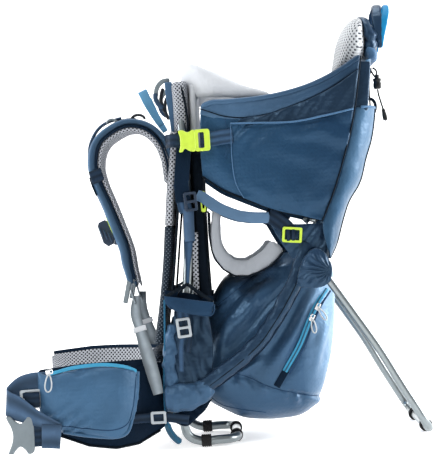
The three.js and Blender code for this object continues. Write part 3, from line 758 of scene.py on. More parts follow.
for name, side in sides:
    body = sidePanel("cockpit_panel_" + name, panelEdges, side, cockpit["y"], 7, 5, blueSatin, 96, 72,
        relief=panelRelief)
    keep(body, "cockpit_side_" + name)
    pocket = sidePanel("cockpit_pocket_" + name, pocketEdges, side, cockpit["pocketY"], 1.5, 8, blueSatin, 80, 64,
        4.0, 1.6, pocketRelief)
    keep(pocket)
    edge = sidePath([(x, 160.5, z) for x, z in pocketEdges[2]], side, 50)
    piping("pocket_piping_" + name, edge, 0.8, blueSoft)
    mouth = sidePath([(x, 160 + 8 * (1 - abs(k / 2 - 1) ** 4), z) for k, (x, z) in enumerate(pocketEdges[1])], side,
        60)
    piping("pocket_hem_" + name, mouth, 1.7, blueSoft)
    rimBand = sidePanel("cockpit_rim_band_" + name, rimEdges, side, 152.5, 4, 6, rimBlue, 90, 16, 2.6, 2.0,
        lambda x, z, u, v: 0.6 * folds(x, z, 15, 40))
    keep(rimBand)
    # partly real, partly painted shade: the gathers under the rim are made in dark navy satin to paint the fold's
    # shadow under the rim
    pleats = sidePanel("cockpit_shaded_pleats_" + name, gatherEdges, side, 159.0, 2, 2, navySatin, 120, 24, 4.0, 1.4,
        gatherRelief)
    keep(pleats)
    seamPath = sidePath([(x, 157.5, z) for x, z in rimSeam], side, 70)
    piping("cockpit_rim_seam_" + name, seamPath, 0.9, blackPiping)
    frontFold = sidePath([(34, 159, 531), (36, 160, 500), (30, 160, 470)], side, 30)
    piping("cockpit_flap_seam_" + name, frontFold, 0.6, blueDeep)
    lowSeam = sidePath([(x, 153, z + 1) for x, z in panelEdges[0]], side, 60)
    piping("cockpit_low_binding_" + name, lowSeam, 1.6, blackPiping)
    lap = sidePath([(252, 143, 530), (257, 143, 570), (262, 142, 612)], side, 40)
    keep(sweep("cockpit_rear_lap_" + name, lap, ringPoints(8, 26, 3.0, 20), (0, 1, 0), navySatin, round=4))
    rearSeam = sidePath([(x, 157.5, z) for x, z in panelEdges[3]], side, 60)
    piping("rear_piping_" + name, rearSeam, 1.3, blackPiping)
    rimPath = sidePath([(x, 151, z + 1) for x, z in panelEdges[1]], side, 80)
    rimTube = sweep("cockpit_rim_" + name, rimPath, ringPoints(13, 9, 2.4, 20), (0, 1, 0), rimBlue, round=8)
    keep(rimTube)
print("cockpit sides made")

rearWrap = {"halfWidth": 150.0, "thick": 8.0, "power": 3.0}
wrapSide = [(190, 296), (182, 330), (181, 357), (199, 397), (218, 447), (233, 493), (245, 537)]
wrapBack = [(192, 296), (213, 334), (232, 384), (249, 412), (261, 441), (273, 481), (280, 511), (284, 537)]
upperSide = [(238, 500), (245, 534), (257, 578), (266, 612)]
upperBack = [(252, 500), (264, 534), (272, 578), (281, 616)]


def wrapGrid(sideLine, backLine, half, inset, power, nu, nv, relief=0.0):
    # plan section at each height: |y / half|^p + ((x - xSide) / (xBack - xSide))^p = 1, pushed out by the relief
    angle = np.linspace(-np.pi / 2, np.pi / 2, nu)[:, None]
    back = np.clip(np.cos(angle), 0, 1) ** (2 / power)
    across = np.sign(np.sin(angle)) * np.abs(np.sin(angle)) ** (2 / power)
    a, b = smoothPath(sideLine, nv)[None], smoothPath(backLine, nv)[None]
    x = a[..., 0] + (b[..., 0] - a[..., 0] - inset + relief) * back
    z = a[..., 1] + (b[..., 1] - a[..., 1]) * back
    y = (half - inset + relief) * across + 0 * z
    return np.stack([x, y, z], -1)


def wrap(name, sideLine, backLine, material, half, seed, node=()):
    nu, nv = 120, 64
    u, v = np.linspace(-150, 150, nu)[:, None], np.linspace(0, 240, nv)[None, :]
    drape = 1.8 * folds(u, v, seed, 70) + 1.2 * np.sin(v / 9 + folds(u, v, seed + 1, 90)) * np.exp(-((np.abs(u) - 105)
        / 35) ** 2)
    outer = wrapGrid(sideLine, backLine, half, 0.0, rearWrap["power"], nu, nv, drape)
    inner = wrapGrid(sideLine, backLine, half, rearWrap["thick"], rearWrap["power"], nu, nv)
    keep(shell(name, outer, inner, material), node)
    return outer


wrapOuter = wrap("rear_wrap", wrapSide, wrapBack, gussetBlue, rearWrap["halfWidth"], 21, "rear_panel")
wrap("rear_wrap_upper", upperSide, upperBack, gussetBlue, 144.0, 23)
for name, side in sides:
    column = 40 if side < 0 else wrapOuter.shape[0] - 41
    piping("rear_corner_piping_" + name, wrapOuter[column] + [0.6, side * 0.6, 0], 1.5, blackPiping)
hemPath = wrapOuter[4:-4, -1]
piping("rear_pocket_hem", hemPath, 2.2, blueSoft)
print("rear made")


wallLower = sweep("front_wall_lower", smoothPath([(-17, 0, 242), (-18, 0, 330), (-17, 0, 420), (-15, 0, 486)], 60),
    ringPoints(252, 22, 5.0, 60), (0, 1, 0), darkLining, round=6)
keep(wallLower, "front_wall")
wallUpper = sweep("front_wall_upper", smoothPath([(-17, 0, 484), (-17, 0, 540), (-15, 0, 598)], 50),
    ringPoints(232, 17, 4.0, 60), (0, 1, 0), greyLining, round=6,
                  bumps=lambda s, t: 0.8 * np.exp(-((s - 55) / 14) ** 2) * np.sin(s * 1.1))
keep(wallUpper)
facePath = [(112, 124, 565), (92, 125, 570), (60, 124, 577), (30, 121, 586), (4, 112, 594), (-12, 84, 599),
    (-18, 40, 601), (-19, 0, 601)]
face = np.vstack([facePath, (np.array(facePath[:-1]) * [1, -1, 1])[::-1]])
facePad = sweep("face_pad", smoothPath(face, 150), ringPoints(66, 32, 2.2, 40), (0, 0, 1), greyLining,
                widths=[0.16, 0.3, 0.5, 0.75, 0.98, 1, 1, 1, 0.98, 0.75, 0.5, 0.3, 0.16], thicks=[0.5, 0.7, 0.9, 1.0,
                1, 1, 1, 1, 1, 1.0, 0.9, 0.7, 0.5], round=5,
                bumps=lambda s, t: 0.9 * folds(s, t * 180, 31, 45))
puffUp(facePad, 5.5, 3.0, 4.0)
keep(facePad, "chin_pad")


slingPath = [(6, 0, 380), (3, 0, 345), (10, 0, 312), (28, 0, 292), (52, 0, 287), (76, 0, 294), (98, 0, 309),
    (110, 0, 323)]
sling = sweep("seat_skin", smoothPath(slingPath, 60), ringPoints(222, 8, 4.0, 50), (0, 1, 0), greyLining, round=3,
    bumps=lambda s, t: 0.6 * folds(s, t * 460, 33, 40))
keep(sling, "seat_sling")
legPath = [(11, 388), (7, 353), (7, 327), (14, 308), (27, 295), (42, 288), (57, 289), (76, 297), (94, 310),
    (107, 325)]
for name, side in sides:
    path = sidePath([(x, 122, z) for x, z in legPath], side, 110)
    pad = sweep("leg_pad_skin_" + name, path, ringPoints(22, 20, 2.6, 32), (0, side, 0), padGrey, thicks=[0.75, 0.8,
        0.95, 1.25, 1.3, 1.3, 1.35, 1.4], round=6,
                bumps=lambda s, t: 1.6 * np.exp(-((s - 118) / 30) ** 2) * np.sin(s / 2.6 + 3 * np.sin(6.28 * t)) + 0.8
                * folds(s, t * 90, 35, 26))
    puffUp(pad, 4.0, 3.0, 3.0)
    keep(pad, "leg_pad_" + name)
    lowEdge = smoothPath([(-3, 385), (-3, 340), (2, 312), (14, 292), (34, 278), (55, 276), (76, 282), (95, 292),
        (112, 308), (120, 318)], 80)
    edge3 = np.stack([lowEdge[:, 0], np.full(80, side * 129.0), lowEdge[:, 1]], 1)
    piping("leg_pad_piping_" + name, edge3, 1.7, blackPiping)


backParts = {
    "upper": ([(-38, 0, 506), (-37, 0, 560), (-38, 0, 606)], 31, fineMesh, 252, 14),
    "middle": ([(-68, 0, 363), (-62, 0, 418), (-55, 0, 472), (-49, 0, 520)], 18, whiteMesh, 254, 3),
    "lower": ([(-98, 0, 172), (-90, 0, 210), (-82, 0, 255), (-74, 0, 310), (-68, 0, 367)], 18, blackMesh, 254, 3),
}
for part, (points, thick, material, width, ends) in backParts.items():
    skin = sweep("back_skin_" + part, smoothPath(points, 60), ringPoints(width, thick, 4.0, 72), (0, 1, 0), material,
        round=ends)
    keep(skin, "back_panel" if part == "upper" else ())
for name, side in sides:
    edge = sidePath([(-34, 124, 590), (-29, 126, 560), (-27, 126, 520), (-38, 126, 470), (-48, 126, 418),
        (-55, 126, 363), (-70, 127, 250)], side, 90)
    piping("back_edge_" + name, edge, 2.0, blackPiping)
    teal = sidePath([(-83, 129, 246), (-87, 130, 178), (-93, 131, 98), (-93, 131, 63), (-89, 130, 42), (-80, 128, 22),
        (-73, 127, 13)], side, 70)
    piping("frame_edge_" + name, teal, 1.7, tealTrim)
    tab = sidePath([(-92, 127, 46), (-88, 126, 32), (-80, 125, 20), (-71, 124, 12)], side, 24)
    keep(sweep("frame_tab_" + name, tab, ringPoints(11, 4, 3.0, 16), (0.7, 0, 0.7), tealPlastic, round=4))
lumbar = sweep("lumbar_skin", smoothPath([(-96, 0, 36), (-101, 0, 70), (-103, 0, 100), (-101, 0, 135), (-96, 0, 166)],
    60), ringPoints(214, 34, 3.2, 60), (0, 1, 0), lumbarMesh,
               thicks=[0.45, 0.85, 1.0, 0.9, 0.6], round=8, bumps=lambda s, t: 0.6 * folds(s, t * 500, 41, 50))
puffUp(lumbar, 6.0, 3.0, 5.0)
keep(lumbar, "lumbar_pad")
print("back made")


bag = {"halfWidth": 117.0, "power": 3.7, "centre": np.array([88.0, 160.0]),
       "outline": [(33, 276), (23, 275), (-5, 240), (-25, 176), (-37, 112), (-30, 76), (5, 51), (33, 38), (69, 32),
       (97, 32), (128, 35), (145, 43), (157, 53), (163, 67),
                   (172, 88), (180, 115), (189, 152), (194, 188), (197, 227), (198, 255), (198, 278), (188, 298),
                    (160, 304), (118, 304), (100, 292), (78, 276), (54, 270)]}
bagRing = smoothPath(bag["outline"], 240, True) - bag["centre"]
ringAngle = np.arctan2(bagRing[:, 1], bagRing[:, 0])
ringOrder = np.argsort(ringAngle)
ringSize = np.linalg.norm(bagRing, axis=1)


def bagDepth(x, z):
    # distance of the bag's skin from the middle plane: half width * (1 - r^p)^(1/p), r the share of the way out to
    # the outline
    dx, dz = np.asarray(x) - bag["centre"][0], np.asarray(z) - bag["centre"][1]
    reach = np.interp(np.arctan2(dz, dx), ringAngle[ringOrder], ringSize[ringOrder], period=2 * np.pi)
    r = np.clip(np.hypot(dx, dz) / reach, 0, 0.999)
    return bag["halfWidth"] * (1 - r ** bag["power"]) ** (1 / bag["power"])


def loft(name, outline, centre, half, power, material, relief=None, around=120, levels=70):
    # rings of one outline, shrunk towards a centre as they near the ends: scale^p + |y / half|^p = 1
    ring = smoothPath(outline, around, True) - centre
    mean = np.linalg.norm(ring, axis=1).mean()
    a = np.linspace(-np.pi / 2, np.pi / 2, 800)
    scale, depth = np.cos(a).clip(0) ** (2 / power), np.sign(np.sin(a)) * np.abs(np.sin(a)) ** (2 / power) * half
    length = np.concatenate([[0], np.cumsum(np.hypot(np.diff(scale * mean), np.diff(depth)))])
    want = np.linspace(0, length[-1], levels + 2)[1:-1]
    scale, depth = np.interp(want, length, scale), np.interp(want, length, depth)
    grid = np.stack([
        centre[0] + ring[None, :, 0] * scale[:, None],
        np.broadcast_to(depth[:, None], (levels, around)),
        centre[1] + ring[None, :, 1] * scale[:, None],
    ], -1)
    if relief is not None:
        alongLevels = np.gradient(grid, axis=0)
        alongRing = np.roll(grid, -1, 1) - np.roll(grid, 1, 1)
        normal = np.cross(alongRing, alongLevels)
        normal /= np.linalg.norm(normal, axis=2)[..., None] + 1e-9
        outward = np.sign(((grid - [centre[0], 0, centre[1]]) * normal).sum(2).mean())
        grid = grid + outward * normal * relief(grid[..., 0], grid[..., 1], grid[..., 2])[..., None]
    poles = np.array([[centre[0], -half, centre[1]], [centre[0], half, centre[1]]])
    verts = np.vstack([grid.reshape(-1, 3), poles])
    j = np.arange(around)
    n = levels * around
    ends = np.vstack([np.stack([np.full(around, n), j, (j + 1) % around], 1), np.stack([np.full(around, n + 1),
        n - around + (j + 1) % around, n - around + j], 1)])
    uv = cornerUv(want, runLength(np.vstack([ring, ring[:1]])), levels - 1, around)
    return meshObject(name, verts, gridFaces(levels, around, True), uv, material, True, ends)


bagSeam = [(-2, 122), (28, 117), (47, 109), (82, 91), (127, 77), (158, 69)]
bagSeamLow = [(-24, 84), (-1, 65), (28, 57), (71, 49)]
bagFold = [(-6, 224), (41, 257), (100, 295)]


def ridge(x, z, start, end, width):
    # a rounded fold along a straight line, fading at both ends
    (ax, az), (bx, bz) = start, end
    length = math.hypot(bx - ax, bz - az)
    along = ((x - ax) * (bx - ax) + (z - az) * (bz - az)) / length ** 2
    off = ((x - ax) * (bz - az) - (z - az) * (bx - ax)) / length
    return np.exp(-((off / width) ** 2)) * np.exp(-(((along - 0.5) / 0.42) ** 4))


bagFolds = [
    ((152, 310), (84, 192), 13, -9.0), ((96, 212), (-12, 116), 13, -9.0), ((160, 258), (70, 132), 8, -8.0),
     ((168, 250), (96, 130), 8, 9.0),
    ((106, 272), (-6, 168), 10, 11.0), ((122, 262), (4, 150), 6, -8.0), ((84, 284), (-12, 204), 7, -8.0),
     ((150, 236), (122, 136), 6, 6.0),
    ((60, 250), (6, 190), 5, 6.0), ((70, 140), (20, 112), 6, 7.0), ((180, 200), (150, 100), 8, 6.0),
     ((130, 290), (40, 262), 6, 7.0),
]


def bagRelief(x, y, z):
    # sewn seams pull the cloth in; long folds run from the hinge to the front; puckers follow the bottom seam
    side = np.clip((np.abs(y) - 30) / 30, 0, 1)
    seamX, seamZ = np.array(bagSeam).T
    low = z - np.interp(x, seamX, seamZ)
    pinch = -5.0 * np.exp(-(low / 3.5) ** 2)
    pucker = 4.6 * np.exp(-((low + 8) / 9) ** 2) * np.sin(x / 4.6 + 2 * folds(x, z, 51, 60))
    foldX, foldZ = np.array(bagFold).T
    crease = -4.0 * np.exp(-((z - np.interp(x, foldX, foldZ)) / 2.5) ** 2) * (x < 104)
    total = pinch + pucker + crease + 1.0 * folds(x + y, z, 55, 90)
    for start, end, width, height in bagFolds:
        total = total + height * ridge(x + 2 * folds(x, z, 56, 90), z, start, end, width)
    # the cloth lies flat along the zip, so its sliders run clear
    zipX = np.interp(z, [92, 116, 158, 198, 225, 246], [90, 105, 132, 151, 166, 183])
    atZip = np.exp(-((x - zipX) / 15) ** 2)
    flatDepth, press = 111.5, 1.15
    return side * (total * (1 - atZip) - press * np.clip(np.abs(y) - flatDepth, 0, 12) * atZip * (z > 80))


bagSkin = loft("storage_bag_skin", bag["outline"], bag["centre"], bag["halfWidth"], bag["power"], bagSatin,
    around=200, levels=130)
puffUp(bagSkin, 4.0, 2.5, 2.5)
pushOut(bagSkin, bagRelief)
keep(bagSkin, "storage_bag")


def onBag(points, off, side=-1, count=60):
    # a line drawn on the bag's side, lifted off its skin
    flat = smoothPath(points, count)
    return settle(np.stack([flat[:, 0], side * (bagDepth(flat[:, 0], flat[:, 1]) + off), flat[:, 1]], 1), bagSkin,
        side, off)


for name, side in sides:
    for label, seam in (("bottom", bagSeam), ("low", bagSeamLow), ("slant", bagFold)):
        piping("bag_seam_" + label + "_" + name, onBag(seam, 0.0, side), 0.8, blueDeep)
zipLine = [(183, 246), (166, 225), (151, 198), (132, 158), (105, 116)]
zipTape = sweep("bag_zip", onBag(zipLine, 1.6), ringPoints(8.5, 2.2, 4.0, 16), (0.8, 0, -0.5), skyTrim)
keep(zipTape)
zipCoil = sweep("bag_zip_coil", onBag(zipLine, 2.9, count=260), ringPoints(2.6, 1.6, 2.0, 10), (0.8, 0, -0.5),
    tealPlastic, widths=1 + 0.3 * np.sin(np.arange(260) * 2.1))
keep(zipCoil)
# painted shade: a dark strip along the zip's rear side, the zip's flap, dark to give the shade beside the zip
zipShade = sweep("bag_zip_shaded_flap", onBag([(190, 241), (173, 221), (158, 195), (139, 154), (112, 112)], 1.2),
    ringPoints(3.2, 2.0, 3.0, 12), (0.8, 0, -0.5), blueDeep)
keep(zipShade)
zipEnd = sweep("bag_zip_end", onBag([(107, 117), (98, 104), (90, 92)], 0.9, count=16), ringPoints(11, 2.2, 4.0, 16),
    (0.8, 0, -0.5), navyCloth)
keep(zipEnd)


def zipPull(name, x, y, z, tilt, drop, body, node, swing=(0.1, 0.0, -1.0), loopSize=(9, 22)):
    # a zip's slider with a cord loop hanging from it
    base = placed(x, y, z, (0, -1 if y < 0 else 1, 0), (math.sin(tilt), 0, math.cos(tilt)))
    slider = plate(name, roundedBox(7.5, 12, 2.4), 4.5, base, steelBright,
        [(roundedBox(2.6, 4.0, 1.0) + [0, 3])[::-1]], 0.7)
    keep(slider, node, body=body)
    t = np.linspace(0, 2 * np.pi, 49)[:-1]
    wide, long = loopSize
    down = np.array(swing) / np.linalg.norm(swing)
    right = np.cross(down, [0, 1, 0])
    sway = wide / 2 * np.sin(t) * (0.55 + 0.45 * np.sin(t / 2) ** 2)
    fall = drop + long * (1 - np.cos(t)) / 2
    path = np.array([x, y + (4.5 if y > 0 else -4.5), z]) + fall[:, None] * down + sway[:, None] * right
    ring = np.vstack([path, path[:1]])
    loop = tubeAlong(name + "_loop", ring, 1.15, paleCord, 8, across=(0, 1, 0))
    return keep(loop, body=body)


zipDown = np.array([-87.0, -137.0]) / math.hypot(87, 137)
for label, distance, swing in (("upper", 33, (0.5, 0, -0.9)), ("lower", 53, (0.12, 0, -1.0))):
    at = np.array([183.0, 246.0]) + distance * zipDown
    zipPull("bag_pull_" + label, at[0], onBag([at, at + zipDown], 8.0, count=2)[0, 1], at[1], 0.56, 3,
        "bag_zip_slider_" + label, "bag_zip_slider_" + label, swing)
print("bag made")


def wrinkled(seed, depth, step):
    # rings of small creases round a sleeve
    return lambda s, t: depth * (0.7 * np.sin(s / step + 2.5 * np.sin(2 * np.pi * t + s / 31)) + folds(s,
        60 * np.sin(2 * np.pi * t), seed, 5 * step))


for name, side in sides:
    path = sidePath([(x, y, z) for x, y, z in [(-30, 133, 100), (-6, 138, 116), (15, 140, 130), (41, 142, 149),
        (67, 142, 172), (90, 141, 201), (112, 140, 233), (128, 138, 260), (141, 135, 289), (154, 131, 326)]], side,
         160)
    sleeve = sweep("tube_sleeve_" + name, path, ringPoints(20, 25, 2.3, 28), (0, 1, 0), sleeveDark, round=4,
        bumps=wrinkled(61, 0.7, 6.5))
    keep(sleeve, "side_tube_" + name)
    # painted shadow: a dark navy strip along the sleeve's lower side, standing for its seam allowance, gives the dark
    # shadow band under the sleeve
    hemPath = path[10:-14] + np.array([6.5, side * -4.0, -8.5])
    keep(sweep("tube_sleeve_shadow_flap_" + name, hemPath, ringPoints(14, 9, 3.0, 20), (0, 1, 0), navyCloth, round=6))
    seamLine = path + np.array([2.5, side * 9.8, -2.5])
    piping("sleeve_seam_" + name, seamLine[6:-10], 0.8, blackPiping)
    path = sidePath([(-93, 129, 86), (-74, 131, 86), (-54, 132, 87), (-34, 131, 93), (-16, 130, 105)], side, 70)
    collar = sweep("collar_sleeve_" + name, path, ringPoints(34, 44, 2.6, 36), (0, 1, 0), sleeveBlue,
        thicks=[1.0, 1.05, 1.02, 0.85, 0.6], widths=[0.95, 1, 1, 0.9, 0.8], round=5,
                   bumps=lambda s, t: wrinkled(63, 1.9, 4.6)(s, t)
                   * (0.25 + 0.75 * np.abs(np.sin(2 * np.pi * t - np.pi / 2))))
    keep(collar)
    path = sidePath([(-73, 124, 206), (-78, 126, 170), (-81, 127, 130), (-80, 127, 104)], side, 60)
    stay = sweep("stay_sleeve_" + name, path, ringPoints(20, 24, 2.3, 24), (0, 1, 0), sleeveBlue, thicks=[0.6, 0.9, 1,
        1], round=4, bumps=wrinkled(65, 2.0, 5.2))
    keep(stay)
    gusset = sidePanel("stay_gusset_" + name, ([(-72, 100), (-44, 98), (-14, 110)], [(-68, 232), (-42, 238),
        (-16, 240)], [(-72, 100), (-76, 160), (-68, 232)], [(-14, 110), (-9, 170), (-16, 240)]),
                       side, 130, 4, 2, navySatin, 40, 60, relief=lambda x, z, u, v: 1.8 * np.sin(x / 3.6 + z / 16 + 2
                       * folds(x, z, 67, 70)))
    keep(gusset)
    skirt = sidePanel("collar_skirt_" + name, ([(-78, 44), (-60, 38), (-48, 46), (-28, 62)], [(-80, 70), (-60, 68),
        (-40, 70), (-16, 80)], [(-78, 44), (-80, 70)], [(-28, 62), (-16, 80)]),
                      side, 120, 4, 2, navyCloth, 40, 24, relief=lambda x, z, u, v: 1.8 * np.sin(x / 3.4 + 0.4 * z))
    keep(skirt)


bootEdges = (
    [(131, 256), (146, 252), (162, 251), (175, 253), (186, 260)],
    [(147, 299), (156, 311), (167, 313), (180, 304)],
    [(131, 256), (136, 276), (147, 299)],
    [(186, 260), (190, 282), (180, 304)],
)


for name, side in sides:
    def bootRelief(x, z, u, v):
        # creases fan out from the hinge
        angle = np.arctan2(z - 276, x - 186)
        return 1.5 * np.sin(angle * 19 + 2.2 * folds(x, z, 71, 34)) * hump(u, 3) * hump(v, 3) + 1.2 * folds(x, z, 72,
            20)

    skin = sidePanel("boot_skin_" + name, bootEdges, side, 163, 5, 5, bootNavy, 60, 50, 3.0, 2.0, bootRelief)
    keep(skin, "boot_" + name)
    hood = sidePath([(134, 146, 268), (141, 146, 288), (153, 146, 306), (166, 146, 313), (178, 146, 306),
        (188, 146, 288)], side, 50)
    top = sweep("boot_hood_" + name, hood, ringPoints(36, 3, 4.0, 24), (0, 1, 0), bootNavy, round=3,
        bumps=lambda s, t: 0.7 * folds(s, t * 80, 73, 18))
    keep(top)
print("sleeves made")


hip = {"wingPlan": [(-96, 112), (-118, 122), (-150, 144), (-200, 162), (-292, 170)], "zLowX": [-292, -262, -217, -175,
    -140, -105, -90], "zLow": [96, 42, 23, 15, 18, 34, 44],
       "zHighX": [-300, -286, -222, -179, -140, -105, -90], "zHigh": [138, 147, 152, 152, 151, 150, 150]}
pocketPlanX, pocketPlanY = [-295, -262, -215, -160, -130, -120], [184, 188.5, 187, 179.5, 163, 150]


def wingGrid(side, low, high, off, nu, nv):
    # plan curve carried up between the belt's lower and upper edge, moved sideways by off
    plan = smoothPath(hip["wingPlan"][:-1] + [(-292 if side < 0 else -303, 170)], nu)
    tangent = np.gradient(plan, axis=0)
    tangent /= np.linalg.norm(tangent, axis=1)[:, None]
    out = np.stack([tangent[:, 1], -tangent[:, 0]], 1)
    out *= np.sign(out[:, 1:2])
    v = np.linspace(0, 1, nv)[None, :]
    swell = hump(np.linspace(0, 1, nu), 8)[:, None] * hump(v, 4)
    place = plan[:, None, :] + out[:, None, :] * (off * (0.3 + 0.7 * swell))[..., None]
    z = low[:, None] + (high - low)[:, None] * v
    return np.stack([place[..., 0], side * place[..., 1], z], -1)


for name, side in sides:
    nu, nv = 90, 44
    planX = smoothPath(hip["wingPlan"], nu)[:, 0]
    low, high = np.interp(planX, hip["zLowX"], hip["zLow"]), np.interp(planX, hip["zHighX"], hip["zHigh"]) - (6
        if side < 0 else 0)
    body = "hip_wing_" + name
    outer = shell("wing_outer_" + name, wingGrid(side, low, high, 7.5, nu, nv), wingGrid(side, low, high, 0.4, nu,
        nv), navyCloth)
    inner = shell("wing_inner_" + name, wingGrid(side, low + 4, high + 2, -0.2, nu, nv), wingGrid(side, low + 4,
        high + 2, -8.5, nu, nv), whiteMesh)
    edge = wingGrid(side, low, high, 7.0, nu, nv)[:, 0]
    rim = tubeAlong("wing_binding_" + name, edge[4:-2], 2.4, blackPiping, 8)
    topEdge = wingGrid(side, low, high, 0.0, nu, nv)[:, -1] + [0, 0, 1]
    rimTop = sweep("wing_binding_top_" + name, topEdge[4:-2] + [0, side * 1.5, 1.5], ringPoints(11, 6, 3.0, 16),
        (0, 0, 1), navyCloth)
    for piece, slotName, nodes in ((outer, "navy_fabric", "hip_wing_" + name), (inner, "grey_mesh", ()),
            (rim, "navy_fabric", ()), (rimTop, "navy_fabric", ())):
        if nodes:
            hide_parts(nodes)
        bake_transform(piece)
    edges = (
        [(-262, 45), (-213, 36), (-169, 30), (-150, 36)],
        [(-294, 149), (-268, 145), (-237, 151), (-178, 152), (-150, 147), (-128, 138)],
        [(-262, 45), (-281, 58), (-293, 82), (-295, 112), (-294, 149)],
        [(-150, 36), (-139, 62), (-129, 105), (-128, 138)],
    )
    planDepth = lambda x, z: np.interp(x, pocketPlanX, pocketPlanY)
    seamPath = smoothPath([(-258, 61), (-215, 53), (-172, 48), (-153, 55), (-143, 78), (-134, 132)], 80)

    def pocketPuckers(x, z, u, v):
        # cloth pulled into the corner by the buckle, and soft swells elsewhere
        corner = np.exp(-(((x + 252) / 28) ** 2 + ((z - 62) / 24) ** 2))
        return 4.5 * corner * np.sin((x - 1.4 * z) / 5.5) + 1.8 * folds(x, z, 81, 60)

    skin = sidePanel("hip_pocket_skin_" + name, edges, side, planDepth, 12, 8, pocketBlue, 84, 64, 5.0, 4.0,
        pocketPuckers)
    puffUp(skin, 4.0, 3.0, 4.0)
    keep(skin, "hip_pocket_" + name, body=body)
    seam3 = np.stack([seamPath[:, 0], 0 * seamPath[:, 0] + side * 196, seamPath[:, 1]], 1)
    piping("hip_pocket_seam_" + name, settle(seam3, skin, side, 0.0), 0.9, blueDeep, body=body)
    lowPath = smoothPath([(-254, 50), (-213, 41), (-170, 36), (-155, 41), (-145, 64), (-135, 105), (-132, 136)], 90)
    keep(tubeAlong("hip_pocket_binding_" + name, np.stack([lowPath[:, 0], side * (planDepth(lowPath[:, 0], 0) + 2),
        lowPath[:, 1]], 1), 3.6, pocketBlue, 12), body=body)
    zipPath = smoothPath([(-271, 142), (-237, 149.5), (-205, 152), (-178, 151), (-150, 145), (-133, 136)], 80)
    zip3 = np.stack([zipPath[:, 0], side * (planDepth(zipPath[:, 0], 0) + 3.5), zipPath[:, 1]], 1)
    keep(sweep("hip_zip_tape_" + name, zip3, ringPoints(6, 3.2, 3.0, 16), (0.1, 0.3, 1), skyTrim, round=3),
        body=body)
    slider = "hip_zip_slider_" + name
    zipPull("hip_pull_" + name, -269, side * 204.5, 147, 1.45, 4, slider, slider, (-0.12, 0, -1.0), (13, 27))

    # webbing: it leaves the wing, folds forward at its far end and comes back to the buckle
    beltLow, drop = 24, (1.0 if side < 0 else 0.7)

    def beltEdge(points):
        return sidePath([(x, y, beltLow + height * drop) for x, y, height in points], side, 110)

    upperEdge = beltEdge([(-278, 182, 122), (-300, 183, 122), (-320, 185, 117), (-334, 189, 107), (-339, 194, 100),
        (-335, 199, 96), (-318, 203, 87), (-288, 205, 62), (-256, 205, 41)])
    lowerEdge = beltEdge([(-278, 182, 76), (-300, 183, 74), (-324, 186, 68), (-339, 190, 63), (-343, 195, 60),
        (-338, 199.5, 54), (-320, 202, 47), (-292, 204.5, 38), (-255, 205, 31)])
    t = np.linspace(0, 1, 12)[None, :, None]
    band = lowerEdge[:, None] * (1 - t) + upperEdge[:, None] * t
    facing = np.cross(np.gradient(band, axis=0), np.gradient(band, axis=1))
    facing /= np.linalg.norm(facing, axis=2)[..., None] + 1e-9
    loop = shell("hip_webbing_loop_" + name, band + 0.9 * facing, band - 0.9 * facing, stripedWebbing)
    keep(loop, "hip_webbing_" + name, body=body)
    keep(strap("hip_strap_run_" + name, [(-306, -203, 48), (-285, -204, 48), (-262, -204, 47)], 35, 1.8, (0, 0, 1),
        navyWebbing, -side), body=body)
    keep(strap("hip_strap_end_" + name, [(-287, -206.5, 47), (-272, -208, 46), (-257, -207, 44)], 38, 2.2,
        (0.08, 0, 1), stripedWebbing, -side), body=body)
    keep(ladderLock("hip_slider_" + name, 33, 30, placed(-303, side * 191, 105, (0.25, side * 1.0, 0)),
        silverPlastic), body=body)
    keep(strap("hip_slider_web_" + name, [(-318, -193.5, 106), (-300, -194, 104), (-288, -192, 104)], 24, 3.0,
        (0, 0, 1), navyWebbing, -side), body=body)
    stabPath = sidePath([(-146, 158, 59), (-121, 149, 58.5), (-100, 146, 58), (-75, 143, 54), (-56, 138, 50)], side,
        50)
    stab = sweep("stabiliser_strap_" + name, stabPath, ringPoints(15, 1.8, 6.0, 20), (0, 0, 1), navyWebbing)
    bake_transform(stab)
    keep(ladderLock("stabiliser_lock_" + name, 25, 20, placed(-104, side * 149.5, 58, (0, side * 1.0, 0)),
        silverPlastic, 1, 3.5))
buckleOutline = np.array([(-22, 30), (-15, 30), (-10, 24), (0, 18), (8, 24), (12, 29), (17, 28), (20, 23), (20, -23),
    (17, -29), (10, -30), (6, -24), (-2, -18), (-10, -24), (-16, -31), (-22, -31), (-15, -12), (-13, 0), (-15, 12)])
buckleShape = smoothPath(buckleOutline, 120, True)
for name, side in sides:
    node = "hip_buckle_socket" if side < 0 else "hip_buckle_plug"
    shape = buckleShape * [1 if side < 0 else -1, 1]
    shape = shape if side < 0 else shape[::-1]
    made = plate(node + "_skin", shape, 10, placed(-320, side * 200, 50, (0, side, 0)), greyPlastic, bevel=1.8)
    keep(made, node, body="hip_wing_" + name)
print("hip belt made")


harness = {"padY": 95.0}
padPath = [(-60, 436), (-63, 476), (-74, 506), (-97, 528), (-126, 534), (-151, 525), (-173, 507), (-182, 475),
    (-177, 445), (-165, 412), (-150, 368), (-140, 335), (-136, 303), (-131, 273)]


def offsetPath(points, off, count, y):
    # the same curve moved sideways in its own plane
    p = smoothPath(points, count)
    t = np.gradient(p, axis=0)
    t /= np.linalg.norm(t, axis=1)[:, None]
    p = p + off * np.stack([-t[:, 1], t[:, 0]], 1)
    return np.stack([p[:, 0], np.full(count, float(y)), p[:, 1]], 1)


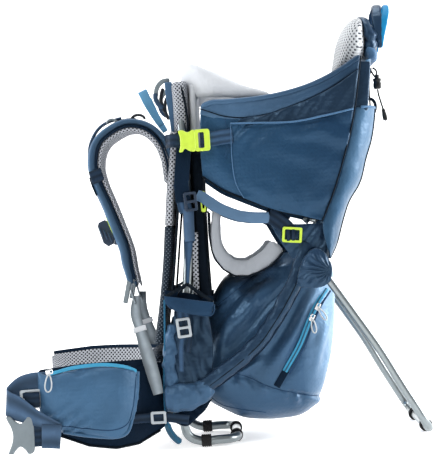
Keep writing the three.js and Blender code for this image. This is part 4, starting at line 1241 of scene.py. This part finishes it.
for name, side in sides:
    y = side * harness["padY"]
    # the far pad lies a little higher and slimmer than the near one
    hang = padPath if side < 0 else [(-62 + (x + 62) * 1.05, 447 + (z - 447) * 1.06) for x, z in padPath]
    slim = 1.0 if side < 0 else 0.68
    taper = [0.75, 0.9, 1, 1, 1, 1, 1, 1, 0.95, 0.85, 0.7, 0.6, 0.5]
    shellSkin = sweep("shoulder_shell_" + name, offsetPath(hang, -5.0 * slim, 150, y), ringPoints(60, 17 * slim, 3.0,
        36), (0, 1, 0), shoulderBlue, widths=taper,
                      thicks=[0.5, 0.6, 0.65, 0.65, 0.7, 0.85, 1, 1, 1.05, 1.1, 1.1, 0.95, 0.65], round=5,
                      bumps=lambda s, t: 0.5 * folds(s, t * 140, 91, 24))
    keep(shellSkin, "shoulder_pad_" + name)
    lining = sweep("shoulder_lining_" + name, offsetPath(hang, 7.5 * slim, 150, y), ringPoints(57, 10 * slim, 3.0,
        36), (0, 1, 0), fineMesh, widths=taper,
                   thicks=[0.9, 1, 1.1, 1.1, 1.1, 1, 0.9, 0.9, 0.75, 0.65, 0.6, 0.6, 0.5], round=4,
                   bumps=lambda s, t: 0.6 * folds(s, t * 120, 93, 16))
    keep(lining)
    binding = offsetPath(hang, 2.5 * slim, 150, y) + np.array([0, side * 29.0, 0]) * np.interp(np.linspace(0, 1, 150),
        np.linspace(0, 1, 13), taper)[:, None]
    piping("shoulder_binding_" + name, binding[3:-3], 1.8, navyCloth)
    topStrap = offsetPath(hang, -11.0 * slim, 150, y)
    web = sweep("shoulder_web_" + name, topStrap[42:92], ringPoints(24, 1.8, 6.0, 20), (0, 1, 0), navyWebbing)
    keep(web)
    outerWeb = sidePath([(-136, 95, 547), (-160, 95, 541), (-176, 95, 530), (-190, 95, 505), (-193, 95, 476)], side,
        50)
    keep(sweep("shoulder_hose_" + name, outerWeb, ringPoints(20, 4.6, 4.0, 16), (0, 1, 0), stripedWebbing))
    patchPath = offsetPath(hang, -13.0 * slim, 150, y)[84:95]
    keep(sweep("shoulder_keeper_" + name, patchPath, ringPoints(58, 2.6, 5.0, 24), (0, 1, 0), navyCloth))
    if side < 0:
        keep(sidePanel("keeper_side_" + name, ([(-188, 440), (-168, 447)], [(-193, 461), (-173, 467)],
            [(-188, 440), (-193, 461)], [(-168, 447), (-173, 467)]), side, 125.5, 1.6, 0.5, navyWebbing, 12, 12,
             edgeThick=1.4))
    for k, (cx, cz, r, tall) in enumerate([(-151, 541, 8, 7), (-108, 545, 11, 8)]):
        arc = np.linspace(0, np.pi, 24)
        loopPts = np.stack([cx + r * np.cos(arc), np.full(24, side * 104.0), cz - 3 + tall * np.sin(arc)], 1)
        keep(sweep(f"strap_loop_{k}_{name}", loopPts, ringPoints(16, 4.6, 3.0, 16), (0, 1, 0), greyPlastic
            if k == 0 else darkPlastic, round=2))
    ribbon = sidePath([(-99, 92, 590), (-86.5, 91, 560.5), (-70, 90, 531)], side, 30)
    keep(sweep(f"load_lifter_{name}", ribbon, ringPoints(16, 2.2, 5.0, 20), (0.9, 0.1, 0.45), paleBlue,
        widths=[1.0, 0.95, 0.8, 0.6]))
    keep(strap("lifter_anchor_" + name, [(-55, -108, 600), (-54, -108, 572), (-51, -108, 545), (-49, -108, 516)], 12,
        5, (1, 0, 0), rimBlue, -side))
    loops = [
        ([(-52, 101, 604), (-65, 101, 602), (-74, 101, 592), (-77, 101, 578)], (0.6, 0.3, -0.75), 8, greyPlastic),
        ([(-77, 103, 584), (-77, 103, 574), (-73, 103, 565), (-66, 103, 558)], (0.85, 0.2, 0.4), 8, stripedWebbing),
        ([(-64, 97, 592), (-68, 97, 580), (-68, 97, 566), (-63, 97, 552)], (0.9, 0.3, -0.1), 6, darkPlastic),
    ]
    for k, (points, facing, width, material) in enumerate(loops):
        loopPath = smoothPath(np.array(points) * [1, side, 1], 30)
        made = sweep(f"lifter_loop_{k}_{name}", loopPath, ringPoints(width, 3.0, 3.0, 16), facing, material, round=2)
        keep(made)
    lock = ladderLock("shoulder_lock_" + name, 31, 38, placed(-144, side * 95, 262, (-1, 0, 0.25), (0.25, 0, 1)),
        greyPlastic, 2, 7)
    keep(lock, "shoulder_ladder_" + name)
    keep(strap("shoulder_tail_" + name, [(-131, -95, 282), (-137, -95, 268), (-134, -96, 250), (-130, -99, 240)], 25,
        3, (0, 1, 0), greyWebbing, -side))
    web = sidePath([(-129, 100, 254), (-132, 112, 228), (-126, 128, 200), (-117, 139, 165), (-108, 141.5, 125),
        (-102, 141.5, 95)], side, 80)
    keep(sweep("shoulder_webbing_skin_" + name, web, ringPoints(21, 1.7, 6.0, 20), (1, 0, 0.3), greyWebbing,
        widths=[0.6, 0.85, 0.75, 0.95, 1.05, 1.0, 0.8]), "shoulder_webbing_" + name)
    keeper = web[26:31]
    keep(sweep("elastic_keeper_" + name, keeper, ringPoints(22, 3.2, 5.0, 20), (1, 0, 0.3), greyLining))
    clipBody = "sternum_clip_" + name
    block = plate("sternum_block_" + name, np.array([(-186, 372), (-184, 378), (-174, 382), (-166, 378), (-158, 352),
        (-161, 342), (-170, 338), (-178, 344)]) - [-171, 358], 15, placed(-171, side * 95, 358, (0, side, 0))
         if side < 0 else placed(-171, side * 95, 358, (0, -1, 0)), bluePlastic, bevel=2.0)
    keep(block, "sternum_clip_" + name, body=clipBody)
    for k in range(3):
        fin = sidePath([(-184 + 7 * k, 95, 372 - 4 * k), (-177 + 7 * k, 95, 352 - 4 * k)], side, 10)
        keep(sweep(f"sternum_fin_{k}_{name}", fin, ringPoints(24, 3.0, 3.0, 16), (0, 1, 0), stripedWebbing, round=2),
            body=clipBody)
    keep(strap("sternum_lime_" + name, [(-170, -95, 386), (-163, -95, 366), (-152, -95, 338)], 30, 2.4, (0, 1, 0),
        limePlastic, -side), body=clipBody)
print("harness made")


for name, side in sides:
    out = (0, side, 0)
    socket = smoothPath([(-13, 16), (-8, 18), (2, 14), (11, 17.5), (13, 15), (13, -15), (11, -17.5), (3, -16),
        (-4, -12), (-8, -17), (-13, -17), (-11, -8), (-11, 8)], 90, True)
    socket = socket if side < 0 else (socket * [-1, 1])[::-1]
    keep(plate("cockpit_socket_skin_" + name, socket, 12, placed(-29.5, side * 164, 499, out), limePlastic,
        bevel=2.2), "side_socket_" + name)
    frameShape = roundedBox(25, 35, 4)
    hole = [(roundedBox(9, 25, 2) + [-side * -1.5, 0])[::-1]]
    keep(plate("cockpit_plug_skin_" + name, frameShape, 8, placed(-5, side * 164, 499, out), limePlastic, hole, 1.4),
        "side_plug_" + name, body="side_plug_" + name)
    keep(strap("plug_webbing_" + name, [(-8, -165, 499), (-3, -166.5, 499), (3, -165, 499)], 25, 2.0, (0, 0, 1),
        navyWebbing, -side), body="side_plug_" + name)
    keep(strap("buckle_web_front_" + name, [(-64, -140, 501), (-58, -158, 501), (-50, -162, 501), (-38, -162, 500)],
        22, 2.0, (0, 0, 1), navyWebbing, -side))
    rearWeb = strap("buckle_web_rear_" + name, [(0, -162, 500), (12, -161, 500), (28, -160.5, 502), (44, -160, 503)],
        24, 2.0, (0, 0, 1), blueWebbing, -side)
    keep(rearWeb)
    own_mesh(rearWeb)
    path = sidePath([(-20, 139, 412), (-12, 141, 409), (2, 143, 398), (20, 145, 386), (45, 146, 375), (70, 145, 370),
        (96, 142, 368)], side, 70)
    keep(sweep("leg_strap_skin_" + name, path, ringPoints(18, 4.2, 3.0, 24), (0.3, 0, 1), legStrapBlue, round=2,
        bumps=lambda s, t: 0.3 * folds(s, t * 40, 95, 18)), "leg_strap_" + name)
    keep(plate("leg_guide_" + name, roundedBox(8, 34, 3), 4, placed(-10, side * 138, 401, out), limePlastic,
        [roundedBox(3.4, 22, 1.2)[::-1]], 0.9))
    keep(strap("leg_keeper_" + name, [(94, -141, 372), (104, -144, 366), (116, -144, 356), (124, -142, 348)], 25, 3.0,
        (0.5, 0, 0.9), navyWebbing, -side))
    keep(strap("leg_keeper_fold_" + name, [(101, -139, 384), (114, -141, 379), (131, -140, 371)], 17, 4.0,
        (0.3, 0, 1), navyCloth, -side))
    keep(ladderLock("leg_lock_" + name, 32, 25, placed(130, side * 146, 338, out, (0.12, 0, 1)), limePlastic, 1, 4))
    for k in range(2):
        keep(strap(f"leg_lock_web_{k}_{name}", [(124 + 8 * k, -146.5, 349), (124 + 8 * k, -148.5, 338),
            (123 + 8 * k, -146.5, 326)], 5, 2.0, (1, 0, 0.1), navyWebbing, -side))
    gusset = sidePanel("leg_gusset_" + name, ([(128, 300), (150, 296), (184, 304)], [(92, 366), (130, 356),
        (180, 354)], [(128, 300), (110, 330), (92, 366)], [(184, 304), (186, 330), (180, 354)]), side, 136, 4, 2,
         bootNavy, 44, 40, 3.0,
                       relief=lambda x, z, u, v: 1.6 * np.sin((x - z) / 5.5 + folds(x, z, 97, 50)))
    keep(gusset)


for name, side in sides:
    keep(strap("stirrup_sleeve_" + name, [(-33, -152, 516), (-38, -152, 470), (-43, -151, 430), (-42, -150, 402)], 24,
        4, (1, 0, 0), navyCloth, -side))
    keep(strap("stirrup_web_upper_" + name, [(-45, -150, 432), (-42, -150, 405), (-38, -150, 385)], 22, 2.4,
        (1, 0, 0.1), blueWebbing, -side))
    keep(ladderLock("stirrup_lock_" + name, 21, 31, placed(-30, side * 154, 402, (0, side, 0), (-0.06, 0, 1)),
        bluePlastic, 2, 5))
    keep(strap("stirrup_web_" + name, [(-34, -151, 390), (-35, -152, 365), (-35, -151, 338)], 17, 3.0, (1, 0, 0.05),
        stripedWebbing, -side))
    keep(strap("stirrup_web_low_" + name, [(-37, -150, 340), (-40, -150, 310), (-44, -151, 266)], 11, 2.4,
        (1, 0, 0.1), blueWebbing, -side, widths=[1.3, 1.0, 0.6, 0.5]))
    keep(strap("wall_mesh_strip_" + name, [(-26, -129, 352), (-29, -129, 300), (-30, -129, 246)], 9, 2.4, (1, 0, 0),
        whiteMesh, -side))
    wallTop = [(-82, 254), (-60, 250), (-30, 244), (-3, 239)]
    wallLow = [(-80, 241), (-62, 229), (-40, 222), (-8, 217)]
    face = sidePanel("stirrup_side_" + name, (wallLow, wallTop, [(-80, 241), (-82, 254)], [(-8, 217), (-3, 239)]),
        side, 178, 3, 2.5, stirrupNavy, 50, 20, 4.0, 2.4)
    keep(face, "stirrup_" + name)
    backFace = sidePanel("stirrup_inner_" + name, (wallLow, [(x, z + 8) for x, z in wallTop],
        [(-80, 241), (-82, 262)], [(-8, 217), (-3, 247)]), side, 141, 2.4, 0.6, navyCloth, 50, 20, 4.0, 2.0)
    keep(backFace)
    sole = sidePath([(-81, 160, 250), (-74, 160, 236), (-58, 160, 228), (-38, 160, 223), (-10, 160, 218.5),
        (-4, 160, 224), (-3, 160, 236)], side, 60)
    keep(sweep("stirrup_sole_" + name, sole, ringPoints(40, 3.2, 4.0, 28), (0, 1, 0), stirrupNavy, round=2))
    for k, (x, z, y) in enumerate([(-80, 252, 176), (-5, 240, 176), (-60, 252, 143), (-20, 246, 143)]):
        keep(strap(f"stirrup_line_{k}_{name}", [(x, -y, z), ((x - 44) / 2 + (4 if k % 2 else -6), -(y + 152) / 2,
            (z + 268) / 2 - 2), (-44, -152, 270)], 5, 1.8, (0.3, 0.2, 1), blackPiping, -side))
    keep(strap("stirrup_tab_" + name, [(-54, -150, 228), (-54, -151, 214)], 20, 2.4, (1, 0, 0), blueWebbing, -side))
    keep(strap("stirrup_low_web_" + name, [(-54, -149, 218), (-54, -149, 200), (-54, -149, 184)], 20, 2.0, (1, 0, 0),
        navyWebbing, -side))
    keep(ladderLock("stirrup_low_lock_" + name, 23, 32, placed(-54, side * 152, 200, (0, side, 0), (-0.08, 0, 1)),
        silverPlastic, 2, 4))
    for k, (x, low, material) in enumerate([(-60, 130, blueWebbing), (-48, 160, navyWebbing)]):
        keep(strap(f"stirrup_tail_{k}_{name}", [(x + 4, -150, 188), (x, -152, 170), (x - 2, -151, low)], 8, 1.8,
            (1, 0, 0.15), material, -side))
print("foot rests made")


headOutline = [(223, 604), (226, 630), (233, 658), (247, 683), (262, 694), (274, 694), (277, 670), (275, 640),
    (268, 622), (250, 606)]
headSkin = loft("headrest_skin", headOutline, np.array([254.0, 648.0]), 74, 3.0, fineHeadMesh, lambda x, y, z: 0.9
    * folds(x + y, z, 101, 50), around=90, levels=70)
keep(headSkin, "headrest")
coverOutline = [(270, 696), (280, 694), (291, 682), (299, 660), (297, 640), (291, 624), (280, 622), (274, 634),
    (272, 660)]
cover = loft("headrest_cover", coverOutline, np.array([284.0, 658.0]), 62, 3.0, bootNavy, lambda x, y, z: 1.6
    * np.sin(z / 4.2 + 2 * folds(y, z, 103, 40)) + folds(x + y, z, 104, 26), around=70, levels=60)
keep(cover)
keep(loft("headrest_collar", [(277, 645), (290, 641), (296, 630), (293, 619), (280, 621), (275, 632)],
    np.array([286.0, 632.0]), 66, 4.0, blueSoft, lambda x, y, z: 0.6 * folds(x + y, z, 105, 22), around=50,
    levels=50))
archHalf = [(304, 42, 640), (304, 44, 666), (306, 38, 692), (309, 22, 709), (310, 8, 714)]
arch = smoothPath(both(archHalf), 110)
lean = np.clip((arch[:, 2:3] - 640) / 60, 0, 1)
handleNavy = sweep("handle_webbing", arch + [-7, 0, 0] * (0.3 + 0.7 * lean), ringPoints(16, 6, 3.0, 24), (1, 0, 0),
    bootNavy, widths=[0.55, 0.8, 1, 1, 0.9, 0.9, 0.9, 1, 1, 0.8, 0.55], round=3,
                   bumps=lambda s, t: 0.4 * folds(s, t * 40, 107, 14))
keep(handleNavy, "handle_loop", body="handle")
handleBlue = sweep("handle_lining", arch + [8, 0, -0.5] * lean, ringPoints(12, 5, 3.0, 24), (1, 0, 0), brightBlue,
    widths=[0.3, 0.6, 0.95, 1, 0.9, 0.8, 0.9, 1, 0.95, 0.6, 0.3], round=4)
keep(handleBlue, body="handle")
for k, points in enumerate([[(289, 10, 612), (285, 8, 596), (283, 6, 575), (283, 5, 548)], [(290, -8, 611),
        (296, -5, 606), (296, -3, 598), (297, 0, 592)], [(297, 3, 592), (292, 6, 600), (287, 10, 611)]]):
    piping(f"cover_cord_{k}", smoothPath(points, 30), 1.5, blackPiping)
arc = np.linspace(-0.4, np.pi * 0.55, 20)
keep(sweep("cover_strap_arc", np.stack([278 + 13 * np.cos(arc - 0.2), np.full(20, -6.0), 542 + 17 * np.sin(arc)], 1),
    ringPoints(22, 4, 4.0, 20), (0, 1, 0), navyCloth))
barrelPath = np.array([(297, 0, z) for z in np.linspace(575.2, 592.8, 14)])
keep(sweep("cord_lock_skin", barrelPath, ringPoints(14, 14, 2.6, 24), (0, 1, 0), blackPlastic, widths=[0.75, 1, 1, 1,
    0.85, 1, 1], thicks=[0.75, 1, 1, 1, 0.85, 1, 1]), "cord_lock_barrel")
plungerPath = np.array([(297, 0, z) for z in np.linspace(586.5, 600, 12)])
keep(sweep("cord_button_skin", plungerPath, ringPoints(8, 8, 2.0, 20), (0, 1, 0), blackPlastic, round=1.5),
    "cord_lock_plunger", body="cord_lock_plunger")
cordRoute = smoothPath([(297, 0, 574.6), (298, 0, 566), (301, 0, 553), (304, 0, 541)], 16)
cordPiece = tubeAlong("drawcord_skin", cordRoute, 1.5, blackPiping, 10, across=(0, 1, 0))
pull = sweep("drawcord_pull", np.array([(304 + 0.22 * k, 0, 542 - 1.45 * k) for k in range(16)]), ringPoints(8, 6,
    2.6, 20), (1, 0, 0), blackPlastic, widths=[0.6, 0.75, 0.85, 1, 1.05, 1, 0.8], round=2)
keep(cordPiece, "drawcord")
keep(pull)
print("head and cords made")

for name, side in sides:
    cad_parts["hinge_bracket_" + name].data.materials.clear()
    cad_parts["hinge_bracket_" + name].data.materials.append(steelBright)

floorMat, _, floorBsdf = newMaterial("floor_pale")
setInputs(floorBsdf, Base_Color=(0.92, 0.92, 0.92, 1), Roughness=0.9, Specular_IOR_Level=0.05)
setInputs(floorBsdf, Emission_Color=(1, 1, 1, 1), Emission_Strength=0.42)
# a sweep of paper: flat under the carrier, then curving up far behind it in a quarter circle (metres)
backdrop = {"front": -9.0, "bendAt": 3.0, "radius": 2.5, "top": 9.0, "halfWidth": 9.0}
bendAt, radius, bend = backdrop["bendAt"], backdrop["radius"], np.linspace(0, np.pi / 2, 20)
sweepY = np.concatenate([[backdrop["front"], bendAt], bendAt + radius * np.sin(bend), [bendAt + radius]])
sweepZ = np.concatenate([[0, 0], radius * (1 - np.cos(bend)), [backdrop["top"]]])
paper = np.stack([np.stack([np.full(len(sweepY), x), sweepY, sweepZ], 1)
    for x in (-backdrop["halfWidth"], backdrop["halfWidth"])]).reshape(-1, 3)
rowLength = len(sweepY)
paperMesh = bpy.data.meshes.new("floor")
k = np.arange(rowLength - 1)
paperMesh.from_pydata(paper.tolist(), [], np.stack([k, k + rowLength, k + rowLength + 1, k + 1], 1).tolist())
paperMesh.polygons.foreach_set("use_smooth", np.ones(rowLength - 1, bool))
floor = bpy.data.objects.new("floor", paperMesh)
bpy.context.scene.collection.objects.link(floor)
floor.data.materials.append(floorMat)

bpy.context.scene.view_settings.view_transform = "Standard"
world = bpy.data.worlds.new("studio")
bpy.context.scene.world = world
world.use_nodes = True
setInputs(world.node_tree.nodes["Background"], Color=(0.95, 0.975, 1, 1), Strength=0.42)


lights = {
    "key": ((-1.4, -2.4, 2.8), (0, 0, 0.35), 1.2, 44),
    "rear_side": ((2.4, 0.1, 0.9), (0.1, 0, 0.35), 1.5, 95),
    "front_side": ((-2.3, 0.1, 0.9), (-0.1, 0, 0.3), 1.3, 48),
    "top": ((0.2, 0.3, 2.9), (0, 0, 0.4), 1.5, 40),
    "paper": ((0, 2.2, 2.6), (0, 5.2, 1.2), 3.5, 150),
}
for name, (place, target, size, power) in lights.items():
    lamp = bpy.data.lights.new(name, "AREA")
    lamp.size = size
    lamp.energy = power
    obj = bpy.data.objects.new(name, lamp)
    obj.location = place
    obj.rotation_euler = (Vector(target) - Vector(place)).to_track_quat("-Z", "Y").to_euler()
    bpy.context.scene.collection.objects.link(obj)
